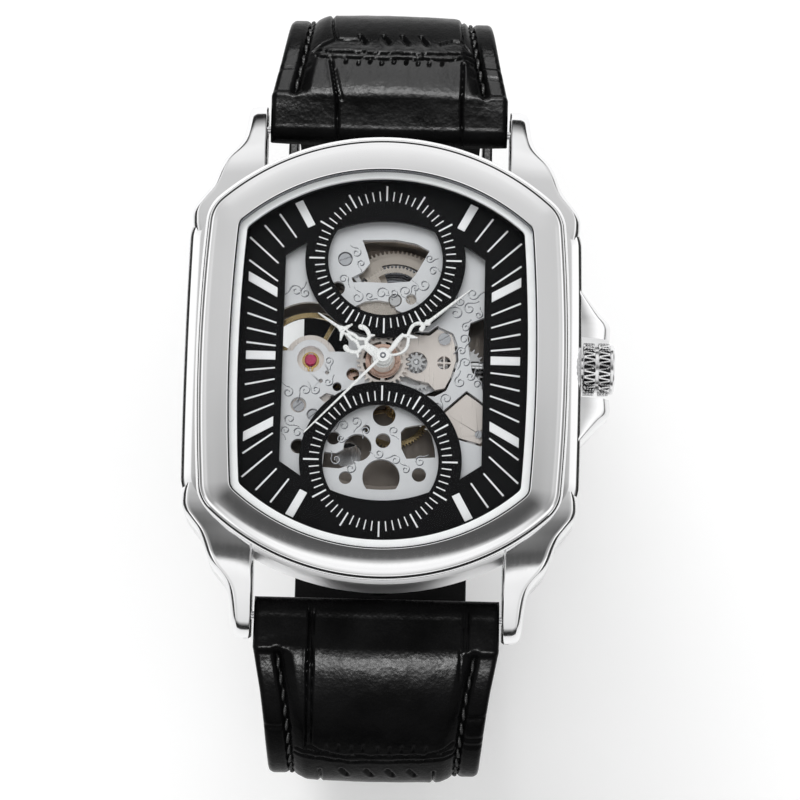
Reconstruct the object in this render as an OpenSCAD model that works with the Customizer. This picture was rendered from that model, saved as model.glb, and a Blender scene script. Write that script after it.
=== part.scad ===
// Automatic wristwatch: tonneau case, open-worked dial, rotor-wound movement, pin-buckle strap.
// Origin: centre of the case back's outer face. +Z towards the crystal, +Y towards 12, +X towards the crown.

/* [Case] */
// Half width of the mid case
case_hw = 19.2; // [19.1:0.05:19.3]
// Half length of the mid case
case_hl = 22.0; // [21.9:0.05:22.1]
// Height of the mid case's top face
case_top = 8.3; // [8.3:0.05:8.4]
// Height of the bezel's top face
bezel_top = 11.1; // [11:0.05:11.2]
// Gap between the lugs
lug_gap = 24.2; // [24.2:0.05:24.4]
// Crown diameter
crown_d = 5.3; // [5:0.1:5.4]

/* [Strap] */
// Strap width at the lugs
strap_w = 23.7; // [23.3:0.1:23.8]
// Strap width at the buckle
strap_end_w = 20; // [19:0.5:20]
// Number of adjusting holes
strap_holes = 7; // [5:1:7]

/* [Time shown] */
// Hour hand, degrees clockwise from 12
hour_deg = 304.2; // [290:0.1:310]
// Minute hand, degrees clockwise from 12
minute_deg = 50.6; // [40:0.1:60]
// Seconds hand, degrees clockwise from 12
second_deg = 223.6; // [210:0.1:240]

/* [Hidden] */
$fn = 48;

// ---- plan positions of the arbors (x, y)
C = [0, 0];                     // hands, centre wheel, fourth wheel, rotor
R = 6.3 * [cos(80.54), sin(80.54)]; // barrel
T = 4.25 * [cos(-75), sin(-75)];    // third wheel
E = 3.64 * [cos(204.5), sin(204.5)]; // escape wheel
B = [-7.05, 0.1];               // balance
M = [3.25, 0];                  // minute wheel
W = [7.7, 0];                   // crown wheel
V = 3.6 * [cos(200), sin(200)]; // reversing wheel
EB = atan2(B[1] - E[1], B[0] - E[0]);
P = E + 2.05 * [cos(EB), sin(EB)];  // pallet fork
WR = norm(W - R);
RI = atan2(W[1] - R[1], W[0] - R[0]) + acos((6.3 * 6.3 + WR * WR - 3.6 * 3.6) / (2 * 6.3 * WR));
I = R + 6.3 * [cos(RI), sin(RI)];   // intermediate winding wheel
stem_z = 6.2;
lev = [11.1, -2.6];             // setting lever's pivot

// ---- helpers
function rev(v) = [for (i = [len(v) - 1 : -1 : 0]) v[i]];
function area2(p, i = 0) = i >= len(p) ? 0 : let(q = p[(i + 1) % len(p)]) p[i][0] * q[1] - q[0] * p[i][1] + area2(p, i + 1);
// polygon, wound anticlockwise whichever way its list runs
module pg(p) { polygon(area2(p) < 0 ? rev(p) : p); }
function ang(a, b) = atan2(b[1] - a[1], b[0] - a[0]);
// phase of gear 2 (z2 teeth at b) in mesh with gear 1 (z1 teeth at a, one tooth at angle p1)
function mesh(a, b, z1, p1, z2) = let(t = ang(a, b), d = (t - p1) * z1 / 360) t + 180 - 360 * (0.5 - d) / z2;
// tooth outline: ph is the angle of one tooth, nar the tip's share of the tooth width
function teeth(z, m, ph, bl = 0.12, add = 0.95, ded = 1.25, nar = 0.45, wid = 1.3) =
  let(r = z * m / 2, hp = 90 / z - bl * m / r * 57.3 / 2, ra = r + add * m, rf = r - ded * m)
  [for (i = [0 : z - 1]) let(c = ph + i * 360 / z)
    for (q = [[-hp * wid, rf], [-hp * nar, ra], [hp * nar, ra], [hp * wid, rf]])
      q[1] * [cos(c + q[0]), sin(c + q[0])]];
// pinion leaves: radial flanks below the pitch circle
function leaves(z, m, ph, bl = 0.16, add = 0.8, ded = 1.4) =
  let(r = z * m / 2, hp = 90 / z - bl * m / r * 57.3 / 2, ra = r + add * m, rf = r - ded * m)
  [for (i = [0 : z - 1]) let(c = ph + i * 360 / z)
    for (q = [[-hp * 1.05, rf], [-hp, r], [-hp * 0.45, ra], [hp * 0.45, ra], [hp, r], [hp * 1.05, rf]])
      q[1] * [cos(c + q[0]), sin(c + q[0])]];
module at(p, z = 0) { translate([p[0], p[1], z]) children(); }
module disc(p, r, z0, z1) { translate([p[0], p[1], z0]) cylinder(r = r, h = z1 - z0); }
module ex(z0, z1) { translate([0, 0, z0]) linear_extrude(z1 - z0) children(); }
module yz(w) { rotate([90, 0, 90]) linear_extrude(w, center = true) children(); }
module xcyl(x0, x1, r, y = 0, z = stem_z) { translate([x0, y, z]) rotate([0, 90, 0]) cylinder(r = r, h = x1 - x0); }
module spin(n, a = 0) { for (i = [0 : n - 1]) rotate(a + i * 360 / n) children(); }
// spoked wheel blank: ri inside of rim, rh hub, n spokes of width w
module spoked(ri, rh, n, w, a = 0) {
  difference() {
    children();
    difference() { circle(ri); circle(rh); spin(n, a) translate([0, -w / 2]) square([ri + 1, w]); }
  }
}
// a bar with round ends from p to q
module bar2(p, q, w) {
  let(d = norm(q - p)) translate(p) rotate(ang(p, q)) { translate([0, -w / 2]) square([d, w]); circle(w / 2); translate([d, 0]) circle(w / 2); }
}

// ---- tonneau outline: side arcs rs, end arcs rt, corner fillets rc in n facets
function fil(hw, hl, rs, rt, rc) =
  let(S = [hw - rs, 0], Q = [0, hl - rt], a = rs - rc, b = rt - rc, d = norm(Q - S),
      a0 = (a * a - b * b + d * d) / (2 * d), h = sqrt(a * a - a0 * a0), u = (Q - S) / d,
      F = S + a0 * u + h * [-u[1], u[0]])
  [F, atan2(F[1] - S[1], F[0] - S[0]), atan2(F[1] - Q[1], F[0] - Q[0])];
module ton(hw, hl, rs, rt, rc, n = 4) {
  f = fil(hw, hl, rs, rt, rc);
  st = (f[2] - f[1]) / n;
  // facets lie half inside, half outside the true fillet
  k = rc * (1 + 1 / cos(st / 2)) / 2;
  pts = [for (i = [0 : n - 1]) let(t = f[1] + st * (i + 0.5)) f[0] + k * [cos(t), sin(t)]];
  e1 = pts[n - 1] + 6 * (pts[n - 1] - pts[n - 2]) / norm(pts[n - 1] - pts[n - 2]);
  q = concat([for (i = [0 : 3]) let(t = f[1] * i / 3.3) [hw - rs + rs * cos(t), rs * sin(t)]], pts, [e1]);
  m = len(q);
  intersection() {
    translate([0, hl - rt]) circle(rt);
    translate([0, rt - hl]) circle(rt);
    pg(concat(q, [[0, hl + 8]], [for (i = [m - 1 : -1 : 0]) [-q[i][0], q[i][1]]],
      [for (i = [1 : m - 1]) [-q[i][0], -q[i][1]]], [[0, -hl - 8]], [for (i = [m - 1 : -1 : 1]) [q[i][0], -q[i][1]]]));
  }
}
// outline at distance d inside the bezel's outer edge
module tn(d) { ton(18.05 - d, 22.0 - d, 170 - d, 24.2 - d, max(3.8 - d * 0.75, 0.9)); }

// ---- case
lug = [[12.1, 12], [12.1, 26.8], [13.3, 26.9], [13.85, 26.5], [14.0, 25.2], [14.15, 23.4], [14.6, 22.1], [15.9, 20.8],
  [16.4, 19.6], [17.3, 17.3], [18.5, 15.6], [19.0, 14.7], [19.12, 12]];
lug_side = [[11, 1.6], [20, 1.25], [23.6, 0.9], [25.6, 1.2], [26.6, 2.2], [26.95, 3.6], [26.7, 4.9], [25.4, 6.2],
  [23.4, 7.2], [21, 7.9], [18.5, case_top], [11, case_top]];
guard = [[18.5, 7.9], [19.15, 7.7], [20.6, 6.2], [22.0, 4.8], [22.25, 4.1], [22.2, 3.0], [18.5, 3.0]];
bar_y = 24.6;
bar_z = 3.4;
back_screws = [[12.4, 12.9], [-12.4, 12.9], [-12.4, -12.9], [12.4, -12.9]];
module mid_case() {
  color("silver") difference() {
    union() {
      ex(1.6, case_top) ton(case_hw, case_hl, 120, 25.4, 3.6);
      for (sx = [0, 1]) for (sy = [0, 1]) mirror([sx, 0, 0]) mirror([0, sy, 0])
        intersection() {
          ex(0, 9) pg([for (p = lug) [p[0] == 12.1 ? lug_gap / 2 : p[0], p[1]]]);
          yz(60) pg(lug_side);
        }
      for (sy = [0, 1]) mirror([0, sy, 0]) ex(3.0, 8.0) pg(guard);
    }
    ex(-1, 1.65) tn(1.15);
    ex(3.0, 9) tn(2.1);
    disc(C, 13.1, 1, 3.1);
    xcyl(15, 20, 1.16);
    for (sy = [-1, 1]) xcyl(-13.3, 13.3, 0.45, sy * bar_y, bar_z);
    for (p = back_screws) disc(p, 0.5, 1, 2.7);
  }
}
module bezel() {
  color("gainsboro") difference() {
    union() {
      ex(case_top, 9.9) tn(0.35);
      ex(9.9, 10.5) tn(0);
      ex(10.5, 10.85) tn(0.25);
      ex(10.85, bezel_top) tn(0.7);
    }
    ex(8, 12) tn(3.0);
  }
}
module front_crystal() { color([0.9, 0.95, 1, 0.3]) ex(10.35, 11.4) tn(3.32); }
module crystal_gasket() { color("black") ex(10.35, 11.0) difference() { tn(3.01); tn(3.31); } }
module rehaut_ring() { color("whitesmoke") ex(9.9, 10.33) difference() { tn(3.05); tn(4.1); } }
module case_back() {
  color("silver") difference() {
    union() { ex(0, 1.6) tn(1.2); disc(C, 13.0, 1.6, 1.75); }
    disc(C, 12.05, -1, 0.61);
    disc(C, 12.65, 0.6, 2);
    for (p = back_screws) { disc(p, 0.56, -1, 2); disc(p, 0.95, -1, 0.61); }
  }
}
module back_crystal() { color([0.9, 0.95, 1, 0.3]) { disc(C, 12.03, 0, 0.6); disc(C, 12.6, 0.6, 1.3); } }
module back_gasket() { color("black") ex(1.3, 1.55) difference() { circle(12.6); circle(12.1); } }
module case_back_screws() {
  color("lightgray") for (p = back_screws) difference() {
    union() { disc(p, 0.9, 0.05, 0.6); disc(p, 0.5, 0.6, 2.6); }
    at(p, 0) cube([2.2, 0.28, 0.5], center = true);
  }
}
module crown_tube() { color("silver") difference() { xcyl(15.6, 20.8, 1.15); xcyl(15, 21, 0.56); } }
module crown() {
  r = crown_d / 2;
  color("lightgray") difference() {
    union() {
      xcyl(19.45, 22.2, r - 0.28);
      for (x = [19.5, 20.95]) translate([x, 0, stem_z]) rotate([0, 90, 0]) linear_extrude(1.05)
        pg([for (i = [0 : 71]) (i % 2 == 0 ? r : r - 0.2) * [cos(i * 5), sin(i * 5)]]);
      xcyl(22.0, 22.42, r - 0.2);
      xcyl(22.42, 22.6, r - 0.5);
    }
    xcyl(19, 21.2, 1.35);
    xcyl(21, 21.9, 0.455);
  }
}
module crown_gasket() { color("black") difference() { xcyl(19.7, 20.2, 1.33); xcyl(19, 21, 1.17); } }
module spring_bars() {
  color("silver") for (sy = [-1, 1]) { xcyl(-11.7, 11.7, 0.75, sy * bar_y, bar_z); xcyl(-12.8, 12.8, 0.4, sy * bar_y, bar_z); }
}

// ---- dial
ring_y = 10.06;
module win(sx, sy) { pg([for (p = [[7.6, 11.75], [9.75, 10.3], [9.75, -10.3], [7.6, -11.75], [3.2, -6], [0, -3.0], [-1, 0], [0, 3.0], [3.2, 6]]) [p[0] * sx, p[1] * sy]]); }
module dial_open() {
  difference() {
    union() {
      for (sx = [-1, 1]) win(sx, 1);
      circle(4.5);
    }
    for (s = [-1, 1]) translate([0, s * ring_y]) circle(7.85);
  }
  for (s = [-1, 1]) intersection() {
    translate([0, s * ring_y]) circle(5.6);
    translate([0, s * (13.95 - 12.6)]) circle(12.6);
    translate([-9, s > 0 ? 0 : -20]) square([18, 20]);
  }
}
module dial_frame() {
  color([0.09, 0.09, 0.1]) {
    ex(7.95, 8.35) difference() { tn(3.1); dial_open(); }
    ex(8.35, 9.9) difference() { tn(3.1); tn(4.0); }
  }
}
module hour_markers() {
  color("whitesmoke") ex(8.35, 8.5) for (sx = [-1, 1]) {
    for (sy = [-1, 1]) {
      intersection() {
        pg([for (p = [[10.45, 6.9], [13.3, 8.5], [13.3, 7.55], [10.45, 5.95]]) [p[0] * sx, p[1] * sy]]);
        square(40, center = true);
      }
      pg([for (p = [[6.95, 13.4], [8.25, 15.85], [9.0, 15.5], [7.65, 13.05]]) [p[0] * sx, p[1] * sy]]);
    }
    translate([sx * 11.87, 0.1]) square([2.86, 0.84], center = true);
  }
}
module movement_ring() {
  color("gainsboro") difference() {
    union() {
      ex(3.0, 7.35) difference() { tn(2.15); circle(12.85); }
      ex(7.35, 7.95) difference() { tn(2.15); tn(4.2); }
    }
    xcyl(10, 20, 0.8);
    xcyl(15.5, 20, 1.2);
  }
}

// ---- movement plates
module see() { intersection() { at(B) circle(5.6); translate([-13, 1.6]) square([12, 8]); } }
module main_plate() {
  color("gainsboro") difference() {
    union() {
      disc(C, 12.8, 3.2, 3.8);
      difference() { disc(C, 12.8, 3.8, 6.75); disc(C, 12.25, 3.7, 7); xcyl(9, 14, 0.8); }
      disc(V, 0.35, 2.65, 3.2);
      disc(I, 0.5, 2.7, 3.2);
      disc(lev, 0.18, 3.8, 7.2);
      disc([-3.95, 10.3], 0.55, 3.8, 6.4);
      for (s = [-1, 1]) disc(P + 1.9 * [cos(EB + 90 * s), sin(EB + 90 * s)], 0.35, 3.8, 4.85);
    }
    ex(3, 4) see();
    disc(R, 0.85, 3, 4);
    disc(W, 1.05, 3, 4);
    for (p = [T, E, P, B, C]) disc(p, 0.35, 3, 4);
    for (p = pillars) disc(p, 0.4, 3, 3.7);
    for (p = [[4.6, -4.6], [-3.2, -8.6], [9.0, -3.4]]) disc(p, 1.3, 3, 4);
  }
}
// openings of the engraved plate
low_holes = [[0.25, -5.3, 1.1], [-1.45, -6.7, 0.36], [0.2, -7.85, 0.72], [-2.25, -8.6, 1.35], [-4.6, -7.7, 0.65],
  [0.1, -11.5, 1.8], [3.75, -11.15, 0.68], [-3.35, -11.6, 0.62], [-8.1, -4.5, 0.76], [-6.65, -5.45, 0.6],
  [-4.4, -2.6, 0.43], [-5.4, -1.2, 0.2], [-6.0, -2.05, 0.2], [-2.9, -1.3, 0.62], [-8.0, -8.6, 0.72], [-3.95, 10.3, 0.72],
  [2.6, 6.35, 0.52], [-4.6, 7.3, 0.68]];
module skeleton_open() {
  // balance, kept closed under the cock
  difference() {
    intersection() { at(B) circle(5.75); translate([-13, 0.9]) square([9.6, 8]); }
    at(B) circle(1.95);
  }
  at(B) circle(1.3);
  // barrel window
  pg([[-2.3, 12.25], [-1.8, 10.9], [-1.5, 9.9], [-2.2, 9.0], [-3.3, 8.4], [-3.1, 7.95], [-1.6, 8.0], [0.2, 7.95], [2.4, 8.15], [3.0, 8.9], [4.3, 11.3], [3.0, 12.0], [1.0, 12.35]]);
  // below the barrel
  pg([[-3.0, 5.4], [-1.9, 6.0], [-0.6, 6.15], [0.8, 5.95], [1.2, 5.2], [1.9, 4.9], [3.0, 4.2], [2.0, 2.9], [-0.6, 2.6], [-2.6, 3.6]]);
  // minute train
  pg([[-1.0, 2.3], [0.9, 2.6], [2.5, 3.15], [4.4, 3.1], [5.2, 3.75], [6.8, 3.0], [7.2, 2.0], [7.35, 0.3], [6.9, -1.2], [6.2, -2.75], [5.1, -3.35], [4.2, -3.3], [2.4, -2.9], [1.2, -2.2], [-0.9, -2.2], [-1.9, -1.0], [-1.9, 1.2]]);
  // keyless slot
  pg([[8.45, 4.1], [9.9, 4.7], [12.0, 2.6], [13.5, 2.0], [13.5, -2.4], [12.0, -3.0], [11.2, -3.5], [9.9, -2.9], [9.3, -1.5], [8.7, -0.8], [8.4, 1.0], [8.2, 2.6]]);
  // cover plate
  pg([[5.95, -4.75], [8.2, -2.7], [9.2, -3.4], [11.3, -5.0], [10.4, -7.3], [9.7, -8.2], [7.15, -7.5]]);
  // left cut and kidney
  pg([[-6.1, -3.75], [-5.4, -3.25], [-4.6, -3.5], [-5.2, -4.5]]);
  pg([[-5.5, -9.1], [-4.3, -9.2], [-3.4, -8.7], [-2.4, -10.2], [-4.0, -10.7], [-5.6, -10.6]]);
  pg([[1.9, -7.0], [2.3, -6.5], [3.2, -6.3], [4.2, -6.1], [4.9, -7.2], [5.2, -8.4], [5.3, -9.4], [2.5, -9.6], [2.0, -8.6]]);
  for (h = low_holes) translate([h[0], h[1]]) circle(h[2]);
}
module skeleton_plate() {
  color("whitesmoke") {
    ex(6.75, 7.35) difference() {
      circle(12.78);
      skeleton_open();
      at(R) circle(0.65);
      at(T) circle(0.35);
    }
    // floor under the minute wheel, joined to the plate on the right
    ex(6.1, 6.35) difference() { at(M) circle(3.1); circle(0.75); }
    ex(6.1, 6.75) translate([6.15, -1.37]) square([1.6, 0.7]);
    // pads under the minute bridge and the cover
    ex(6.1, 6.75) difference() { pg([[5.3, 2.2], [5.3, 3.95], [7.1, 3.3], [7.7, 2.0], [6.4, 1.7]]); translate([5.95, 2.4]) circle(0.45); }
    ex(6.35, 6.75) difference() { pg([[8.7, -6.4], [10.2, -6.3], [9.9, -7.05], [9.0, -8.15], [8.2, -7.9]]); translate([9.45, -7.0]) circle(0.2); }
    disc(M, 0.25, 6.3, 7.7);
  }
}
module balance_cock() {
  color([0.8, 0.76, 0.7]) difference() {
    union() {
      disc(B, 2.55, 6.2, 6.75);
      ex(6.2, 6.75) pg([[-9.4, 0], [-9.7, -4.5], [-8.6, -6.8], [-6.4, -6.9], [-4.9, -3.2], [-4.7, -0.4]]);
    }
    disc(B, 0.6, 6, 7);
    for (p = [[-8.1, -4.5], [-6.65, -5.45]]) disc(p, 0.45, 6, 7);
  }
}
mb = [[1.1, 1.7], [2.4, 2.8], [4.5, 2.75], [5.25, 3.4], [6.65, 2.85], [6.95, 1.9], [7.1, 0.3], [6.65, -1.3], [6.05, -2.5], [5.1, -2.7], [4.45, -2.0], [3.2, -1.75], [1.9, -1.2], [1.1, -1.7]];
module minute_train_bridge() {
  color([0.83, 0.78, 0.73]) difference() {
    ex(6.75, 7.3) difference() { pg(mb); circle(1.25); }
    disc(M, 1.06, 6, 8);
    difference() { disc([5.95, 0.05], 0.66, 6, 8); translate([5.95, 0.05, 7]) { cube([0.16, 1.4, 1], center = true); cube([1.4, 0.16, 1], center = true); } }
    disc([5.95, 2.4], 0.45, 6, 8);
  }
}
module keyless_cover() {
  color([0.83, 0.78, 0.73]) difference() {
    ex(6.75, 7.1) pg([[6.1, -4.95], [8.2, -3.0], [9.1, -3.6], [11.0, -5.1], [10.2, -7.2], [9.6, -7.9], [7.3, -7.3]]);
    disc([9.45, -7.0], 0.2, 6, 8);
  }
}
pillars = [[-5.2, 8.2], [-8.4, -4.5], [7.3, -6.3]];
module automatic_bridge() {
  color("gainsboro") {
    ex(2.2, 2.6) difference() {
      union() { circle(3.4); for (p = pillars) { bar2([0, 0], p, 2.4); at(p) circle(1.3); } at(V) circle(1.3); }
      circle(2.2); at(V) circle(0.4);
      for (p = pillars) at(p) circle(0.75);
    }
    for (p = pillars) ex(2.5, 3.2) at(p) difference() { circle(1.0); circle(0.4); }
  }
}
module pallet_bridge() {
  color("gainsboro") ex(4.85, 5.03) difference() {
    union() {
      bar2(P + 1.9 * [cos(EB + 90), sin(EB + 90)], P - 1.9 * [cos(EB + 90), sin(EB + 90)], 0.9);
      bar2(P, E, 0.9);
    }
    for (p = [P, E]) at(p) circle(0.29);
  }
}
module screw(p, r, z0, z1, a = 0, rs = 0.38) {
  difference() { union() { disc(p, r, z1 - 0.25, z1); disc(p, rs, z0, z1 - 0.25); } translate([p[0], p[1], z1]) rotate(a) cube([3 * r, 0.16, 0.26], center = true); }
}
module movement_screws() {
  color("lightsteelblue") {
    screw([-3.95, 10.3], 0.62, 6.42, 7.2, 20, 0.3);
    screw([9.45, -7.0], 0.38, 6.4, 7.35, 70, 0.19);
    screw([5.95, 2.4], 0.62, 6.2, 7.55, 30, 0.44);
    for (p = [[-8.1, -4.5], [-6.65, -5.45]]) screw(p, 0.56, 6.25, 7.0, 40);
    for (p = pillars) difference() { union() { disc(p, 0.7, 2.25, 2.5); disc(p, 0.38, 2.5, 3.6); } translate([p[0], p[1], 2.25]) cube([3, 0.18, 0.24], center = true); }
  }
}
module jewel(p, z0, z1, ro, ri) { ex(z0, z1) at(p) difference() { circle(ro); circle(ri); } }
module jewels() {
  color("crimson") {
    for (p = [T, E, P, B, C]) jewel(p, 3.25, 3.75, 0.34, 0.12);
    jewel(T, 6.8, 7.2, 0.34, 0.12);
    for (p = [P, E]) jewel(p, 4.86, 5.02, 0.28, 0.12);
    jewel(B, 6.3, 6.9, 0.58, 0.12);
    disc(B, 0.5, 6.95, 7.15);
  }
}

// ---- power and winding
module barrel() {
  color([0.72, 0.68, 0.62]) at(R) difference() {
    union() {
      ex(4.5, 4.9) pg(teeth(80, 0.14, mesh([0, 0], R, 10, 0, 80)));
      ex(4.9, 5.75) circle(4.85);
    }
    ex(4.8, 5.5) circle(4.5);
    ex(4, 6) circle(0.75);
    ex(5.4, 6) for (a = [20, 140, 260]) rotate(a) intersection() { difference() { circle(4.1); circle(1.7); } pg([[0, 0], [9, 0], [9, 9], [0, 9]]); }
  }
}
module mainspring() {
  n = 11 * 14;
  color("darkslategray") at(R) ex(4.85, 5.4) pg(concat(
    [for (i = [0 : n]) let(a = i * 360 / 14, r = 1.3 + 2.9 * i / n) r * [cos(a), sin(a)]],
    [for (i = [n : -1 : 0]) let(a = i * 360 / 14, r = 1.47 + 2.9 * i / n) r * [cos(a), sin(a)]]));
}
module barrel_arbor() {
  color("silver") at(R) {
    ex(2.8, 3.1) difference() { pg(teeth(60, 0.15, mesh(I, R, 24, 0, 60))); spin(5) translate([2.6, 0]) circle(0.8); }
    disc(C, 0.7, 3.05, 6.4);
    disc(C, 0.55, 6.4, 7.3);
    disc(C, 1.2, 4.95, 5.35);
  }
}
module ratchet_wheel() {
  color([0.78, 0.73, 0.67]) at(R) ex(6.42, 6.68) difference() {
    pg(teeth(60, 0.12, 3));
    circle(0.57);
    intersection() { difference() { circle(3.0); circle(1.3); } pg([[-0.6, 0.6], [6, 3], [7, 9], [0.5, 9], [-2.0, 3.0]]); }
  }
}
module click() {
  tip = R + 3.86 * [cos(150), sin(150)];
  color("steelblue") ex(6.42, 6.68) difference() {
    union() { at([-3.95, 10.3]) circle(0.85); pg([[-4.4, 9.9], [-3.3, 10.0], tip + [0.03, 0.03], tip - [0.35, 0.1]]); }
    at([-3.95, 10.3]) circle(0.33);
  }
}
module crown_wheel() {
  color("silver") at(W) {
    ex(2.8, 3.1) pg(teeth(24, 0.15, mesh(I, W, 24, 0, 24)));
    ex(4.6, 5.0) pg(teeth(28, 0.16, 180 / 28));
    disc(C, 1.0, 3.0, 4.7);
  }
}
module intermediate_wheel() { color("silver") at(I) ex(2.8, 3.1) difference() { pg(teeth(24, 0.15, 0)); circle(0.54); } }

// ---- going train
cp0 = mesh([0, 0], R, 10, 0, 80);
module centre_wheel() {
  color([0.85, 0.55, 0.4]) difference() {
    union() {
      ex(4.45, 4.95) pg(leaves(10, 0.14, 0));
      disc(C, 0.42, 4.45, 6.4);
      ex(5.84, 6.0) spoked(3.2, 0.9, 4, 0.45, 20) pg(teeth(80, 0.094444, 0));
    }
    disc(C, 0.22, 4, 7);
  }
}
module third_wheel() {
  color([0.85, 0.7, 0.4]) at(T) {
    ex(4.18, 4.36) spoked(3.2, 0.8, 4, 0.4, 10) pg(teeth(75, 0.1, mesh([0, 0], T, 10, 0, 75)));
    ex(5.8, 6.05) pg(leaves(10, 0.094444, mesh([0, 0], T, 80, 0, 10)));
    disc(C, 0.2, 3.85, 6.7);
    disc(C, 0.1, 3.3, 7.15);
  }
}
module fourth_wheel() {
  color([0.85, 0.7, 0.4]) {
    ex(3.9, 4.05) spoked(2.9, 0.7, 4, 0.35, 0) pg(teeth(84, 0.08, mesh(E, [0, 0], 7, 0, 84)));
    ex(4.05, 4.42) pg(leaves(10, 0.1, 0));
    disc(C, 0.2, 4.0, 9.9);
    disc(C, 0.1, 3.3, 4.0);
  }
}
module escape_wheel() {
  color([0.88, 0.8, 0.55]) at(E) {
    ex(4.5, 4.64) spoked(0.95, 0.35, 4, 0.18, 0) pg([for (i = [0 : 14]) for (q = [[0, 1.1], [6, 1.36], [10, 1.45], [14, 1.4], [11, 1.1]]) q[1] * [cos(i * 24 + q[0]), sin(i * 24 + q[0])]]);
    ex(3.86, 4.3) pg(leaves(7, 0.08, 0));
    disc(C, 0.15, 3.86, 4.8);
    disc(C, 0.1, 3.3, 5.0);
  }
}
module pallet_fork() {
  e1 = E + 1.66 * [cos(EB + 34), sin(EB + 34)];
  e2 = E + 1.66 * [cos(EB - 34), sin(EB - 34)];
  f = P + 1.3 * [cos(EB), sin(EB)];
  color("lightgray") {
    ex(4.42, 4.66) {
      bar2(P, e1, 0.24); bar2(P, e2, 0.24); bar2(P, f, 0.2); at(P) circle(0.3);
      for (s = [-1, 1]) bar2(f, f + 0.3 * [cos(EB + 50 * s), sin(EB + 50 * s)], 0.1);
    }
    disc(P, 0.18, 3.85, 4.8);
    disc(P, 0.1, 3.3, 5.0);
  }
}
module balance_wheel() {
  color([0.8, 0.62, 0.3]) at(B) {
    ex(5.15, 5.5) difference() { circle(5.15); difference() { circle(4.65); spin(4, 62) translate([0, -0.22]) square([5, 0.44]); circle(0.7); } }
    disc(C, 0.2, 3.85, 6.2);
    disc(C, 0.1, 3.3, 6.85);
    disc(C, 0.42, 4.45, 4.75);
    disc(C, 0.45, 5.5, 5.62);
  }
}
module hairspring() {
  n = 6 * 16;
  color("steelblue") at(B) ex(5.68, 5.82) pg(concat(
    [for (i = [0 : n]) let(a = i * 22.5, r = 0.3 + 1.9 * i / n) r * [cos(a), sin(a)]],
    [for (i = [n : -1 : 0]) let(a = i * 22.5, r = 0.36 + 1.9 * i / n) r * [cos(a), sin(a)]]));
}

// ---- motion works and hands
module cannon_pinion() {
  color("silver") difference() {
    union() { ex(6.42, 6.7) pg(leaves(10, 0.13, 0)); disc(C, 0.5, 6.42, 9.6); }
    disc(C, 0.26, 6, 10);
  }
}
module minute_wheel() {
  color([0.85, 0.7, 0.4]) difference() {
    at(M) union() {
      ex(6.45, 6.62) spoked(2.1, 1.2, 5, 0.4, 0) pg(teeth(40, 0.13, mesh([0, 0], M, 10, 0, 40)));
      ex(6.62, 7.65) pg(leaves(10, 0.1625, mesh([0, 0], M, 30, 0, 10)));
    }
    disc(M, 0.29, 6, 8);
  }
}
module hour_wheel() {
  color([0.85, 0.55, 0.4]) difference() {
    union() { ex(7.45, 7.65) spoked(1.95, 1.35, 4, 0.4, 0) pg(teeth(30, 0.1625, 0)); disc(C, 0.8, 7.45, 9.1); disc(C, 1.15, 7.65, 7.85); }
    disc(C, 0.55, 7, 10);
  }
}
module ringy(p, r, w) { at(p) difference() { circle(r); circle(r - w); } }
module hour_hand() {
  color("white") rotate(-hour_deg) ex(8.9, 9.1) difference() {
    union() {
      circle(1.15);
      bar2([0, 0.9], [0, 2.2], 0.75);
      difference() { union() { ringy([0.75, 2.6], 0.9, 0.34); ringy([-0.75, 2.6], 0.9, 0.34); } translate([-2, 1.2]) square([4, 0.5]); }
      difference() { union() { ringy([0.85, 4.2], 0.8, 0.32); ringy([-0.85, 4.2], 0.8, 0.32); } translate([-0.35, 3]) square([0.7, 1]); }
      bar2([0, 2.2], [0, 5.2], 0.5);
      pg([[-0.45, 4.6], [-0.95, 5.5], [-0.3, 5.5], [-0.28, 6.2], [0, 8.1], [0.28, 6.2], [0.3, 5.5], [0.95, 5.5], [0.45, 4.6]]);
    }
    circle(0.81);
  }
}
module minute_hand() {
  color("white") rotate(-minute_deg) ex(9.4, 9.6) difference() {
    union() {
      circle(1.0);
      bar2([0, 0.8], [0, 3.2], 0.5);
      difference() { ringy([0.62, 2.55], 0.95, 0.3); translate([-1.5, 1.4]) square([1.3, 3]); }
      ringy([0, 4.35], 0.98, 0.32);
      difference() { at([0.1, 4.7]) circle(0.42); }
      bar2([0, 5.1], [0, 6.1], 0.7);
      pg([[-0.24, 5.6], [-0.15, 8], [-0.06, 11.2], [0.06, 11.2], [0.15, 8], [0.24, 5.6]]);
    }
    circle(0.51);
  }
}
module seconds_hand() {
  color("white") rotate(-second_deg) {
    ex(9.9, 10.02) pg([[-0.15, 0], [-0.06, 10.8], [0.06, 10.8], [0.15, 0]]);
    disc(C, 0.62, 9.9, 10.1);
  }
}

// ---- automatic winding
module rotor() {
  color("lightgray") {
    ex(1.62, 1.9) difference() {
      intersection() { circle(11.2); union() { translate([-20, -20]) square([40, 19.2]); circle(2.6); } }
      for (a = [205, 238, 302, 335]) rotate(a) translate([6.6, 0]) circle(1.9);
      rotate(270) translate([6.8, 0]) circle(2.3);
      circle(0.3);
    }
    disc(C, 0.72, 1.9, 2.7);
    ex(2.7, 3.1) pg(leaves(16, 0.15, 0));
  }
}
module rotor_weight() {
  color("gray") ex(1.62, 2.65) intersection() {
    difference() { circle(12.4); circle(11.2); }
    translate([-20, -20]) square([40, 19.2]);
  }
}
module rotor_bearing() {
  color("silver") ex(2.2, 2.62) difference() { circle(2.19); circle(0.75); }
}
module reversing_wheel() {
  color([0.7, 0.5, 0.75]) difference() {
    at(V) { ex(2.75, 3.05) spoked(1.8, 0.9, 5, 0.4, 0) pg(teeth(32, 0.15, mesh([0, 0], V, 16, 0, 32))); }
    disc(V, 0.39, 2, 4);
  }
}

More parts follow.
